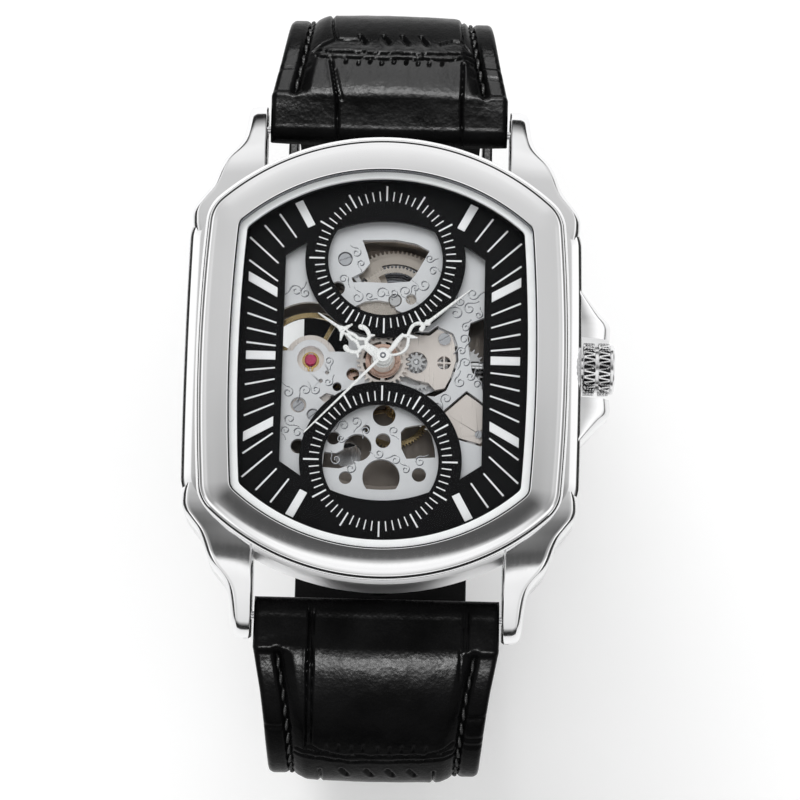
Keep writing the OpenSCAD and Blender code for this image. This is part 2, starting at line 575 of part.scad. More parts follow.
// ---- keyless works
module stem() {
  color("silver") {
    difference() { xcyl(9.4, 21.88, 0.45); difference() { xcyl(10.8, 11.4, 1); xcyl(10, 12, 0.25); } }
    translate([8.15, 0, stem_z]) cube([2.7, 0.6, 0.6], center = true);
  }
}
module winding_pinion() {
  color("silver") difference() {
    translate([9.8, 0, stem_z]) rotate([0, 90, 0]) linear_extrude(0.8) pg(teeth(14, 0.16, 0));
    xcyl(9, 11, 0.5);
  }
}
module sliding_pinion() {
  color("silver") difference() {
    union() { xcyl(7.7, 8.3, 0.52); xcyl(8.3, 8.7, 0.47); xcyl(8.7, 9.35, 0.52); }
    translate([8.5, 0, stem_z]) cube([3, 0.66, 0.66], center = true);
  }
}
module setting_lever() {
  color("silver") difference() {
    union() { ex(6.85, 7.1) { bar2(lev, [11.1, 0], 0.6); at(lev) circle(0.45); } disc([11.1, 0], 0.2, 6.5, 6.9); }
    disc(lev, 0.2, 6, 8);
  }
}

// ---- strap: centre line from the spring bar, turning down and under
function adv(p, h, L, t) = t == 0 ? [p + L * [cos(h), sin(h)], h]
  : let(r = L / (t * PI / 180)) [p + r * [sin(h + t) - sin(h), cos(h) - cos(h + t)], h + t];
function along(s, sg, i = 0, p = [bar_y, bar_z], h = -8) = i >= len(sg) ? [p, h]
  : s <= sg[i][0] + 1e-6 ? adv(p, h, s, sg[i][1] * s / sg[i][0])
  : let(q = adv(p, h, sg[i][0], sg[i][1])) along(s - sg[i][0], sg, i + 1, q[0], q[1]);
short_path = [[3, 0], [12.3, -63], [3.3, -26], [38.1, 0], [23.2, -83]];
long_path = [[3, 0], [11.45, -63], [3, -26], [38.581, 0], [14.817, -76], [8, 0], [17.1, -70], [6, 0]];
function outer_t(s) = lookup(s, [[0, 1.6], [3, 1.7], [7, 2.5], [13, 3.1], [20, 3.0], [38, 2.3], [58, 1.7], [120, 1.45]]);
function inner_t(s) = lookup(s, [[0, 1.5], [4, 1.45], [60, 1.35], [120, 1.3]]);
function side(sg, st) = concat(
  [for (s = st) let(a = along(s, sg)) a[0] + outer_t(s) * [-sin(a[1]), cos(a[1])]],
  [for (s = rev(st)) let(a = along(s, sg)) a[0] - inner_t(s) * [-sin(a[1]), cos(a[1])]]);
function steps(a, b) = concat([0, 1.5, 3], [for (i = [1 : 7]) 3 + a * i / 7], [for (i = [1 : 4]) 3 + a + b * i / 4], [24, 30, 36, 43, 50]);
taper = [[-6, strap_w / 2], [-8, 10.3], [-25, 10.1], [-35, strap_end_w / 2], [-70, strap_end_w / 2]];
flare = [[27.6, strap_w / 2], [31.4, 11.05], [34.7, 10.55], [36.8, 10.35], [45, 10.3]];
module taper_cut() {
  rotate([90, 0, 0]) linear_extrude(200, center = true) pg(concat([[strap_w / 2, 12]], [for (p = taper) [p[1], p[0]]], [for (p = rev(taper)) [-p[1], p[0]]], [[-strap_w / 2, 12]]));
}
module flare_cut() {
  for (sx = [0, 1]) mirror([sx, 0, 0]) translate([0, 0, -8]) linear_extrude(20) pg(concat([for (p = flare) [p[1], p[0]]], [[14, 45], [14, 27.6]]));
}
buckle_at = along(79.9, short_path)[0] + [-1.191, 0.146];
module strap_upper() {
  st = concat(steps(12.3, 3.3), [56.7], [for (i = [1 : 10]) 56.7 + 23.2 * i / 10]);
  color([0.1, 0.1, 0.1]) difference() {
    union() {
      intersection() { yz(strap_w) pg(side(short_path, st)); taper_cut(); }
      xcyl(-strap_w / 2, strap_w / 2, 1.85, bar_y, bar_z);
      xcyl(-9.9, 9.9, 1.6, buckle_at[0], buckle_at[1]);
    }
    xcyl(-20, 20, 0.8, bar_y, bar_z);
    xcyl(-20, 20, 0.8, buckle_at[0], buckle_at[1]);
    translate([0, buckle_at[0], buckle_at[1]]) rotate([-7, 0, 0]) translate([0, 0.6, 0]) cube([3.0, 7, 9], center = true);
    flare_cut();
  }
}
hole_s = 79.618;
module strap_lower() {
  st = concat(steps(11.45, 3), [56.031], [for (i = [1 : 8]) 56.031 + 14.817 * i / 8], [78.848], [for (i = [1 : 7]) 78.848 + 17.1 * i / 7], [101.948]);
  tip = along(101.948, long_path);
  color([0.1, 0.1, 0.1]) mirror([0, 1, 0]) difference() {
    union() {
      intersection() { yz(strap_w) pg(side(long_path, st)); taper_cut(); }
      xcyl(-strap_w / 2, strap_w / 2, 1.85, bar_y, bar_z);
    }
    xcyl(-20, 20, 0.8, bar_y, bar_z);
    flare_cut();
    // pointed tip
    for (sx = [0, 1]) mirror([sx, 0, 0]) translate([0, tip[0][0], tip[0][1]]) rotate([tip[1] + 180, 0, 0]) translate([0, -0.2, -5])
      linear_extrude(10) pg([[3.2, -1], [8.6, 3.2], [9.6, 6], [12, 6], [12, -1]]);
    // adjusting holes
    for (i = [0 : strap_holes - 1]) let(a = along(hole_s + 8.0 - i * 6.5, long_path))
      translate([0, a[0][0], a[0][1]]) rotate([a[1], 0, 0]) cylinder(r = 0.95, h = 12, center = true);
  }
}
module buckle_place() { translate([0, buckle_at[0], buckle_at[1]]) rotate([-19, 0, 0]) children(); }
module buckle_frame() {
  color("silver") buckle_place() difference() {
    union() {
      translate([0, 0, -1]) linear_extrude(2) difference() {
        pg([[-12.6, 1.4], [-12.6, -9.5], [-11.6, -12.4], [-9.4, -13.4], [9.4, -13.4], [11.6, -12.4], [12.6, -9.5], [12.6, 1.4]]);
        pg([[-10.4, 3], [-10.4, -9.6], [-9.2, -11.2], [9.2, -11.2], [10.4, -9.6], [10.4, 3]]);
      }
    }
    xcyl(-20, 20, 0.77, 0, 0);
    translate([0, -12.3, -1.3]) cube([2.2, 4, 1], center = true);
  }
}
module buckle_bar() { color("silver") xcyl(-12.5, 12.5, 0.75, buckle_at[0], buckle_at[1]); }
module buckle_tongue() {
  color("silver") buckle_place() difference() {
    union() {
      xcyl(-1.0, 1.0, 1.35, 0, 0);
      translate([0, 0, 0]) yz(1.7) pg([[0, -1.3], [-2, -1.3], [-11, -1.35], [-13.8, -1.0], [-14.0, -1.4], [-13.2, -1.95], [-11, -2.15], [-2, -2.0], [0, -1.34]]);
      translate([0, -1.2, -1.2]) cube([1.7, 2, 1.2], center = true);
    }
    xcyl(-3, 3, 0.8, 0, 0);
  }
}
// keeper loop around the strap at path position s, wi inside width, gap room for the tail
module keeper(s, wi, gap, ln, th, cl) {
  a = along(s, short_path);
  to = outer_t(s) + gap;
  ti = inner_t(s) + cl;
  translate([0, a[0][0], a[0][1]]) rotate([a[1], 0, 0]) translate([0, 0, (to - ti) / 2])
    rotate([90, 0, 0]) linear_extrude(ln, center = true) difference() {
      square([wi + 2 * th, to + ti + 2 * th], center = true);
      square([wi, to + ti], center = true);
    }
}
module fixed_keeper() { color([0.12, 0.12, 0.12]) keeper(64.95, 19.96, 3.0, 4.5, 1.1, 0.25); }
module sliding_keeper() { color([0.12, 0.12, 0.12]) keeper(49.45, 20.9, 3.2, 4.5, 1.1, 0.15); }

mid_case();
bezel();
front_crystal();
crystal_gasket();
rehaut_ring();
case_back();
back_crystal();
back_gasket();
case_back_screws();
crown_tube();
crown();
crown_gasket();
spring_bars();
dial_frame();
hour_markers();
movement_ring();
main_plate();
skeleton_plate();
balance_cock();
minute_train_bridge();
keyless_cover();
automatic_bridge();
pallet_bridge();
movement_screws();
jewels();
barrel();
mainspring();
barrel_arbor();
ratchet_wheel();
click();
crown_wheel();
intermediate_wheel();
centre_wheel();
third_wheel();
fourth_wheel();
escape_wheel();
pallet_fork();
balance_wheel();
hairspring();
cannon_pinion();
minute_wheel();
hour_wheel();
hour_hand();
minute_hand();
seconds_hand();
rotor();
rotor_weight();
rotor_bearing();
reversing_wheel();
stem();
winding_pinion();
sliding_pinion();
setting_lever();
strap_upper();
strap_lower();
buckle_frame();
buckle_tongue();
buckle_bar();
fixed_keeper();
sliding_keeper();
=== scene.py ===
import bpy
import math
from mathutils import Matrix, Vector, noise


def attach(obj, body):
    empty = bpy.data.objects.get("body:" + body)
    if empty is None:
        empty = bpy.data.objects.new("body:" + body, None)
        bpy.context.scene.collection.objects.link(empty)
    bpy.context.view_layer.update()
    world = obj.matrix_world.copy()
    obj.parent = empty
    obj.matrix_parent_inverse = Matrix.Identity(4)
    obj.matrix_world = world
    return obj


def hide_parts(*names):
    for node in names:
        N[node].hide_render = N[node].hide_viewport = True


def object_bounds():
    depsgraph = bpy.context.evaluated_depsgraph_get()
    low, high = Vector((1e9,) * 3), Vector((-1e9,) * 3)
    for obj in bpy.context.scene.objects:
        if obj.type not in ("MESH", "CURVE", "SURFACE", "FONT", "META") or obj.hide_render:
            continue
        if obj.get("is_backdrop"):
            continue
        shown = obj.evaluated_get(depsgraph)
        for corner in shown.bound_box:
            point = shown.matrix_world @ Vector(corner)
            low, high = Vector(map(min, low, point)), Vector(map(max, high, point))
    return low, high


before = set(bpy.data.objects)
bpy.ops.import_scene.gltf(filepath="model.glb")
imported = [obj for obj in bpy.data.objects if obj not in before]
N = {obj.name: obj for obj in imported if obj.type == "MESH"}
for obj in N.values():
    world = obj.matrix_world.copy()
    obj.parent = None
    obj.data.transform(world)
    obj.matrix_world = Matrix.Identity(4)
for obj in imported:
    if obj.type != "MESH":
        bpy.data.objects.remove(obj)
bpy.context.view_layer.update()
MM = 0.001
rad = math.radians


# ------------------------------------------------------------------ node helpers
class Mat:
    """One procedural material: a principled shader fed by object-space noise."""

    def __init__(self, name, **fixed):
        self.m = bpy.data.materials.new(name)
        self.m.use_nodes = True
        self.t = self.m.node_tree
        self.n = self.t.nodes
        self.b = self.n["Principled BSDF"]
        self.co = self.n.new("ShaderNodeTexCoord")
        for k, v in fixed.items():
            self.b.inputs[k.replace("_", " ")].default_value = v

    def link(self, a, b):
        self.t.links.new(a, b)

    def coords(self, scale=(1, 1, 1), rot=(0, 0, 0)):
        mp = self.n.new("ShaderNodeMapping")
        mp.inputs["Scale"].default_value = scale
        mp.inputs["Rotation"].default_value = rot
        self.link(self.co.outputs["Object"], mp.inputs["Vector"])
        return mp.outputs["Vector"]

    def noise(self, scale, detail=4, rough=0.55, stretch=(1, 1, 1), rot=(0, 0, 0)):
        t = self.n.new("ShaderNodeTexNoise")
        t.inputs["Scale"].default_value = scale
        t.inputs["Detail"].default_value = detail
        t.inputs["Roughness"].default_value = rough
        self.link(self.coords(stretch, rot), t.inputs["Vector"])
        return t.outputs["Fac"]

    def voronoi(self, scale, feature="F1", stretch=(1, 1, 1), rnd=1.0):
        t = self.n.new("ShaderNodeTexVoronoi")
        t.feature = feature
        t.inputs["Scale"].default_value = scale
        t.inputs["Randomness"].default_value = rnd
        self.link(self.coords(stretch), t.inputs["Vector"])
        return t.outputs["Distance"]

    def wave(self, scale, direction="X", distortion=0.0, stretch=(1, 1, 1), rot=(0, 0, 0), kind="BANDS", profile="SIN"):
        t = self.n.new("ShaderNodeTexWave")
        t.wave_type = kind
        t.wave_profile = profile
        if kind == "BANDS":
            t.bands_direction = direction
        else:
            t.rings_direction = direction
        t.inputs["Scale"].default_value = scale
        t.inputs["Distortion"].default_value = distortion
        t.inputs["Detail"].default_value = 2
        self.link(self.coords(stretch, rot), t.inputs["Vector"])
        return t.outputs["Fac"]

    def ramp(self, fac, a, b, lo=0.3, hi=0.7):
        r = self.n.new("ShaderNodeMapRange")
        r.interpolation_type = "SMOOTHSTEP"
        r.inputs["From Min"].default_value = lo
        r.inputs["From Max"].default_value = hi
        r.inputs["To Min"].default_value = a
        r.inputs["To Max"].default_value = b
        self.link(fac, r.inputs["Value"])
        return r.outputs["Result"]

    def tint(self, fac, c1, c2, lo=0.3, hi=0.7):
        r = self.n.new("ShaderNodeValToRGB")
        r.color_ramp.elements[0].position = lo
        r.color_ramp.elements[1].position = hi
        r.color_ramp.elements[0].color = (*c1, 1)
        r.color_ramp.elements[1].color = (*c2, 1)
        self.link(fac, r.inputs["Fac"])
        return r.outputs["Color"]

    def add(self, a, b, wa=1.0, wb=1.0):
        ma = self.n.new("ShaderNodeMath")
        ma.operation = "MULTIPLY"
        ma.inputs[1].default_value = wa
        self.link(a, ma.inputs[0])
        mb = self.n.new("ShaderNodeMath")
        mb.operation = "MULTIPLY_ADD"
        mb.inputs[1].default_value = wb
        self.link(b, mb.inputs[0])
        self.link(ma.outputs[0], mb.inputs[2])
        return mb.outputs[0]

    def bump(self, h, strength, dist, target="Normal"):
        b = self.n.new("ShaderNodeBump")
        b.inputs["Strength"].default_value = strength
        b.inputs["Distance"].default_value = dist * MM
        self.link(h, b.inputs["Height"])
        self.link(b.outputs["Normal"], self.b.inputs[target])

    def colour(self, fac, c1, c2, lo=0.3, hi=0.7):
        self.link(self.tint(fac, c1, c2, lo, hi), self.b.inputs["Base Color"])

    def rough(self, fac, a, b, lo=0.3, hi=0.7):
        self.link(self.ramp(fac, a, b, lo, hi), self.b.inputs["Roughness"])


def metal(name, col, r0, r1, var=0.05, grain=900, bump=0.06, bdist=0.004, stretch=(1, 1, 1), rot=(0, 0, 0), cloud=350):
    """Metal with soft cloudy tone, uneven polish and fine directional grain."""
    m = Mat(name, Metallic=1.0)
    c = m.noise(cloud, 3, 0.5)
    dark = tuple(max(0.0, x * (1 - var)) for x in col)
    lite = tuple(min(1.0, x * (1 + var * 0.5)) for x in col)
    m.colour(c, dark, lite)
    g = m.noise(grain, 5, 0.6, stretch, rot)
    m.rough(g, r0, r1)
    m.bump(g, bump, bdist)
    return m.m


def lacquer(name, col, r0, r1, spec=0.5, var=0.15, scale=2500, bump=0.08, bdist=0.004, coat=0.0):
    m = Mat(name, Metallic=0.0, Specular_IOR_Level=spec, Coat_Weight=coat)
    c = m.noise(700, 3)
    m.colour(c, tuple(x * (1 - var) for x in col), tuple(min(1, x * (1 + var)) for x in col))
    g = m.noise(scale, 4)
    m.rough(g, r0, r1)
    m.bump(g, bump, bdist)
    return m.m


# polished case steel: faint drawn lines and a few hairline marks
def steel(name, col, r0, r1, bump):
    m = Mat(name, Metallic=1.0)
    cloud = m.noise(160, 2)
    m.colour(cloud, tuple(x * 0.97 for x in col), col)
    hair = m.noise(2600, 3, 0.5, (1, 0.06, 1), (0, 0, rad(18)))
    fine = m.noise(5200, 2, 0.5)
    m.rough(m.add(hair, fine, 0.6, 0.4), r0, r1)
    m.bump(m.add(hair, cloud, 0.35, 0.65), bump, 0.01)
    return m.m


MAT = {}
MAT["polished_steel"] = steel("polished steel", (0.90, 0.90, 0.905), 0.045, 0.10, 0.03)
MAT["case_steel"] = steel("case steel", (0.86, 0.86, 0.865), 0.07, 0.14, 0.05)
MAT["satin_steel"] = metal("satin steel", (0.86, 0.86, 0.865), 0.34, 0.46, 0.04, 1500, 0.10, 0.004, (0.03, 1, 1))
MAT["back_steel"] = metal("back steel", (0.78, 0.78, 0.79), 0.22, 0.34, 0.04, 1500, 0.12, 0.004, (1, 0.03, 1))
MAT["black_rubber"] = lacquer("black rubber", (0.012, 0.012, 0.012), 0.5, 0.65)
MAT["light_ring"] = lacquer("light ring", (0.93, 0.93, 0.93), 0.28, 0.42, 0.5, 0.03, 3000, 0.05)
MAT["black_dial"] = lacquer("black dial", (0.0045, 0.0045, 0.005), 0.30, 0.42, 0.10, 0.2, 4200, 0.06, 0.003)
MAT["white_print"] = lacquer("white print", (0.83, 0.83, 0.84), 0.35, 0.5, 0.4, 0.03, 5200, 0.10, 0.003)
MAT["silver_plate"] = metal("silver plate", (0.80, 0.805, 0.825), 0.30, 0.44, 0.05, 3400, 0.10, 0.003)
MAT["silver_plate"].node_tree.nodes["Principled BSDF"].inputs["Metallic"].default_value = 0.55
MAT["gold_wire"] = metal("gold wire", (0.90, 0.66, 0.28), 0.14, 0.26, 0.06, 2400, 0.08)
# painted shadow: dark grey laid flat beside each scroll ridge, standing in for the ridge's shadow on the plate
MAT["engraved"] = metal("engraved line", (0.20, 0.21, 0.235), 0.30, 0.45, 0.1, 3000, 0.1, 0.003)
# painted highlight: the scroll ridges are a lighter, glossier copy of the plate silver
MAT["scroll"] = metal("engraved ridge", (0.93, 0.935, 0.95), 0.20, 0.32, 0.04, 3000, 0.1, 0.003)
MAT["beige_bridge"] = metal("beige bridge", (0.80, 0.735, 0.69), 0.26, 0.40, 0.05, 2600, 0.16, 0.004, (1, 0.04, 1))
MAT["beige_bridge"].node_tree.nodes["Principled BSDF"].inputs["Metallic"].default_value = 0.55
# painted shade: the main plate is darkened to stand in for the shadow in the movement's cavities
MAT["painted_shade_plate"] = metal("main plate painted shade", (0.30, 0.262, 0.232), 0.30, 0.45, 0.10, 2400, 0.16, 0.004, (1, 0.05, 1))
MAT["drum"] = metal("barrel drum", (0.62, 0.56, 0.50), 0.28, 0.42, 0.08, 2600, 0.2, 0.004, (0.05, 1, 1))
MAT["blued_screw"] = metal("screw steel", (0.62, 0.63, 0.66), 0.10, 0.2, 0.05, 2600, 0.06)
MAT["spring_steel"] = metal("spring steel", (0.33, 0.34, 0.37), 0.16, 0.28, 0.15, 2600, 0.1)
MAT["movement_steel"] = metal("movement steel", (0.70, 0.70, 0.71), 0.12, 0.24, 0.06, 2600, 0.08)
MAT["ratchet_beige"] = metal("ratchet wheel", (0.66, 0.60, 0.54), 0.22, 0.36, 0.07, 2200, 0.2, 0.004)
MAT["rose_gold"] = metal("rose gilt", (0.74, 0.52, 0.43), 0.16, 0.30, 0.06, 2400, 0.1)
MAT["crown_steel"] = metal("crown steel", (0.84, 0.84, 0.845), 0.15, 0.24, 0.03, 2200, 0.05, 0.003)
# painted shade: near-black steel for the crown's notch faces, darkening the recesses
MAT["crown_notch_painted_shade"] = metal("crown notch painted shade", (0.055, 0.055, 0.058), 0.34, 0.50, 0.10, 2200, 0.08, 0.003)
MAT["gilt"] = metal("gilt", (0.50, 0.38, 0.20), 0.16, 0.30, 0.08, 2400, 0.12)
MAT["hand_steel"] = metal("hand", (0.95, 0.95, 0.94), 0.24, 0.36, 0.03, 3600, 0.08, 0.003)
MAT["hand_steel"].node_tree.nodes["Principled BSDF"].inputs["Metallic"].default_value = 0.3
MAT["rotor_plate"] = metal("rotor plate", (0.80, 0.80, 0.82), 0.18, 0.30, 0.05, 1800, 0.12, 0.004, (1, 0.04, 1), (0, 0, rad(35)))
MAT["tungsten"] = metal("tungsten", (0.50, 0.50, 0.52), 0.20, 0.32, 0.06, 2600, 0.12)
MAT["violet_alu"] = metal("violet wheel", (0.42, 0.27, 0.56), 0.24, 0.36, 0.08, 2600, 0.1)


def ruby():
    m = Mat("ruby", Metallic=0.0, Transmission_Weight=0.35, IOR=1.76)
    c = m.noise(1500, 3)
    m.colour(c, (0.42, 0.01, 0.07), (0.62, 0.03, 0.16))
    m.rough(m.noise(5000, 2), 0.03, 0.09)
    m.bump(m.noise(3000, 2), 0.03, 0.003)
    return m.m


MAT["ruby"] = ruby()


def crystal():
    """Clear glass with a coating: light passes straight, a weak sheen stays."""
    m = Mat("clear crystal")
    out = m.n["Material Output"]
    m.n.remove(m.b)
    tr = m.n.new("ShaderNodeBsdfTransparent")
    tr.inputs["Color"].default_value = (0.985, 0.99, 0.99, 1)
    gl = m.n.new("ShaderNodeBsdfGlossy")
    gl.inputs["Color"].default_value = (0.88, 0.90, 0.96, 1)
    g = m.noise(900, 3)
    m.link(m.ramp(g, 0.015, 0.035), gl.inputs["Roughness"])
    b = m.n.new("ShaderNodeBump")
    b.inputs["Strength"].default_value = 0.02
    b.inputs["Distance"].default_value = 0.005 * MM
    m.link(g, b.inputs["Height"])
    m.link(b.outputs["Normal"], gl.inputs["Normal"])
    lw_ = m.n.new("ShaderNodeLayerWeight")
    lw_.inputs["Blend"].default_value = 0.5
    pw = m.n.new("ShaderNodeMath")
    pw.operation = "POWER"
    pw.inputs[1].default_value = 5.0
    m.link(lw_.outputs["Facing"], pw.inputs[0])
    ma = m.n.new("ShaderNodeMath")
    ma.operation = "MULTIPLY_ADD"
    ma.inputs[1].default_value = 0.8
    ma.inputs[2].default_value = 0.0025
    m.link(pw.outputs[0], ma.inputs[0])
    mx = m.n.new("ShaderNodeMixShader")
    m.link(ma.outputs[0], mx.inputs["Fac"])
    m.link(tr.outputs["BSDF"], mx.inputs[1])
    m.link(gl.outputs["BSDF"], mx.inputs[2])
    m.link(mx.outputs["Shader"], out.inputs["Surface"])
    return m.m


MAT["clear_crystal"] = crystal()


def leather(name, gloss0, gloss1, pore):
    """Black embossed leather: pebble, fine pores and worn semi-gloss."""
    m = Mat(name, Metallic=0.0, Specular_IOR_Level=0.03)
    c = m.noise(260, 4)
    m.colour(c, (0.0015, 0.0015, 0.0016), (0.0042, 0.0042, 0.0044))
    pebble = m.voronoi(2600)
    fine = m.noise(6200, 5, 0.62)
    fold = m.noise(520, 4, 0.6, (0.35, 1, 1))
    m.rough(m.add(fine, c, 0.5, 0.5), gloss0, gloss1)
    h = m.add(m.add(pebble, fine, 0.55, 0.45), fold, 1.0, 0.9)
    m.bump(h, pore, 0.06)
    return m.m


MAT["black_leather"] = leather("black leather", 0.20, 0.34, 0.38)
MAT["lining"] = leather("strap lining", 0.55, 0.72, 0.5)
th = Mat("waxed thread", Metallic=0.0, Specular_IOR_Level=0.2)
th.colour(th.noise(1500, 3), (0.003, 0.003, 0.003), (0.011, 0.011, 0.011))
tw = th.wave(2600, "DIAGONAL", 1.0)
th.rough(tw, 0.38, 0.6)
th.bump(tw, 0.7, 0.05)
MAT["thread"] = th.m


# ------------------------------------------------------------------ mesh helpers
def make(name, verts, faces, mat, body, smooth=35, mats=None, face_mats=None):
    me = bpy.data.meshes.new(name)
    me.from_pydata([(x * MM, y * MM, z * MM) for x, y, z in verts], [], faces)
    me.validate()
    me.update()
    for p in me.polygons:
        p.use_smooth = True
    if smooth is not None:
        me.set_sharp_from_angle(angle=rad(smooth))
    o = bpy.data.objects.new(name, me)
    bpy.context.scene.collection.objects.link(o)
    for x in mats or [mat]:
        me.materials.append(MAT[x])
    if face_mats:
        for p, k in zip(me.polygons, face_mats):
            p.material_index = k
    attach(o, body)
    return o


def loft(rings, closed_ring=True, cap0=True, cap1=True, close_path=False):
    """Quads between rings of equal length; rings run counter-clockwise seen from the loft's end."""
    v, f = [], []
    n = len(rings[0])
    for r in rings:
        v += r
    m = len(rings)
    last = m if close_path else m - 1
    for i in range(last):
        a, b = i * n, ((i + 1) % m) * n
        for j in range(n if closed_ring else n - 1):
            k = (j + 1) % n
            f.append((a + j, a + k, b + k, b + j))
    if closed_ring and cap0 and not close_path:
        f.append(tuple(range(n - 1, -1, -1)))
    if closed_ring and cap1 and not close_path:
        f.append(tuple((m - 1) * n + j for j in range(n)))
    return v, f


def join(parts):
    v, f = [], []
    for pv, pf in parts:
        k = len(v)
        v += pv
        f += [tuple(i + k for i in q) for q in pf]
    return v, f


def lerp_table(s, T):
    if s <= T[0][0]:
        return T[0][1]
    for a, b in zip(T, T[1:]):
        if s <= b[0]:
            return a[1] + (b[1] - a[1]) * (s - a[0]) / (b[0] - a[0])
    return T[-1][1]


def smooth_table(s, T):
    """Monotone cubic through the table's points."""
    n = len(T)
    if s <= T[0][0]:
        return T[0][1]
    if s >= T[-1][0]:
        return T[-1][1]
    d = [(T[i + 1][1] - T[i][1]) / (T[i + 1][0] - T[i][0]) for i in range(n - 1)]
    t = [d[0]] + [0 if d[i - 1] * d[i] <= 0 else 2 * d[i - 1] * d[i] / (d[i - 1] + d[i]) for i in range(1, n - 1)] + [d[-1]]
    for i in range(n - 1):
        if s <= T[i + 1][0]:
            h = T[i + 1][0] - T[i][0]
            u = (s - T[i][0]) / h
            return (
                (2 * u**3 - 3 * u**2 + 1) * T[i][1]
                + (u**3 - 2 * u**2 + u) * h * t[i]
                + (-2 * u**3 + 3 * u**2) * T[i + 1][1]
                + (u**3 - u**2) * h * t[i + 1]
            )


def sstep(a, b, x):
    t = min(1, max(0, (x - a) / (b - a)))
    return t * t * (3 - 2 * t)


# ------------------------------------------------------------------ tonneau outline
def outline(hw, hl, rs, rt, rc, ns=16, nf=10, nt=34):
    """Counter-clockwise loop from (hw, 0): side arc, corner fillet, end arc, mirrored to four quarters."""
    S, Q, a, b = (hw - rs, 0.0), (0.0, hl - rt), rs - rc, rt - rc
    dx, dy = Q[0] - S[0], Q[1] - S[1]
    d = math.hypot(dx, dy)
    a0 = (a * a - b * b + d * d) / (2 * d)
    h = math.sqrt(a * a - a0 * a0)
    u = (dx / d, dy / d)
    F = (S[0] + a0 * u[0] - h * u[1], S[1] + a0 * u[1] + h * u[0])
    f1 = math.atan2(F[1] - S[1], F[0] - S[0])
    f2 = math.atan2(F[1] - Q[1], F[0] - Q[0])
    q = [(S[0] + rs * math.cos(f1 * i / ns), rs * math.sin(f1 * i / ns)) for i in range(ns)]
    q += [(F[0] + rc * math.cos(f1 + (f2 - f1) * i / nf), F[1] + rc * math.sin(f1 + (f2 - f1) * i / nf)) for i in range(nf)]
    e = rad(90)
    q += [(rt * math.cos(f2 + (e - f2) * i / nt), Q[1] + rt * math.sin(f2 + (e - f2) * i / nt)) for i in range(nt + 1)]
    p = q + [(-x, y) for x, y in reversed(q[:-1])]
    return p + [(x, -y) for x, y in reversed(p[1:-1])]


def tn(d, z):
    return [(x, y, z) for x, y in outline(18.05 - d, 22.0 - d, 170 - d, 24.2 - d, max(3.8 - d * 0.75, 0.9))]


def ton(d, z):
    return [(x, y, z) for x, y in outline(19.32 - d, 22.0 - d, 560 - d, 25.4 - d, max(3.6 - d * 0.6, 0.9))]


# bezel: rolled shoulder, face falling outwards, polished inner edge
def shifted(f, d, z, dy):
    return [(x, y + dy, w) for x, y, w in f(d, z)]


LEAN = -0.34
prof = [(0.36, 8.32), (0.36, 9.60), (0.34, 9.72), (0.22, 9.82), (0.06, 9.90), (0.0, 9.98), (0.0, 10.09), (0.01, 10.12),
        (0.03, 10.15), (0.31, 10.405), (0.34, 10.43), (0.39, 10.445), (0.45, 10.455), (0.47, 10.47), (0.62, 10.585), (0.66, 10.61), (0.80, 10.64), (1.05, 10.725), (1.35, 10.80),
        (1.70, 10.87), (2.05, 10.935), (2.40, 10.99), (2.75, 11.04), (3.02, 11.075), (3.12, 11.085), (3.18, 11.06), (3.21, 10.98), (3.21, 10.3), (3.21, 9.95), (3.0, 9.9), (3.0, 8.4)]
v, f = loft([shifted(tn, d, z, LEAN * min(d / 3.2, 1) if z > 9.9 else 0) for d, z in prof], cap0=False, cap1=False)
bz = make("bezel_form", v, f, "polished_steel", "case", 24)
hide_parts("bezel")
# thin black joint, crystal and pale inner ring
gk = [(3.215, 10.4), (3.215, 10.97), (3.23, 11.0), (3.31, 11.0), (3.33, 10.97), (3.33, 10.4)]
v, f = loft([shifted(tn, d, z, LEAN) for d, z in gk], cap0=False, cap1=False, close_path=True)
gs = make("crystal_joint", v, f, "black_rubber", "case", 40)
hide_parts("crystal_gasket")
cr = [(3.34, 10.36), (3.34, 11.22), (3.36, 11.30), (3.42, 11.36), (3.52, 11.39), (3.70, 11.40)]
v, f = loft([shifted(tn, d, z, LEAN) for d, z in cr])
cs = make("crystal_form", v, f, "clear_crystal", "case", 25)
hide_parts("front_crystal")
rg = [(3.06, 9.9), (3.06, 10.33), (4.00, 10.33), (4.05, 10.31), (4.06, 10.27), (4.06, 9.92)]
v, f = loft([shifted(tn, d, z, -0.22) for d, z in rg], cap0=False, cap1=False, close_path=True)
rh = make("inner_ring", v, f, "light_ring", "case", 40)
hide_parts("rehaut_ring")


# ------------------------------------------------------------------ case middle: band, horns and crown shoulders
def rrect(y, x0, x1, z0, z1, ri, ro, rb, sx, sy, n=5):
    """Rounded rectangle in the plane y: ri, ro are the upper inner and outer radii, rb the lower ones."""
    w, h = max(x1 - x0, 0.02), max(z1 - z0, 0.02)
    ri, ro, rb = (min(r, w * 0.48, h * 0.48) for r in (ri, ro, rb))
    c = ro * 0.52
    pts = [(x1, z1 - ro), (x1, z1 - ro * 0.62), (x1 - 0.03, z1 - ro * 0.57), (x1 - c, z1 - ro * 0.13), (x1 - c - 0.06, z1 - ro * 0.09), (x1 - ro, z1 - 0.015)]
    for cx, cz, r, a in ((x0 + ri, z1 - ri, ri, 90), (x0 + rb, z0 + rb, rb, 180), (x1 - rb, z0 + rb, rb, 270)):
        for i in range(n + 1):
            t = rad(a + 90 * i / n)
            pts.append((cx + r * math.cos(t), cz + r * math.sin(t)))
    pts = [(sx * x, sy * y, z) for x, z in pts]
    return pts if sx * sy < 0 else pts[::-1]


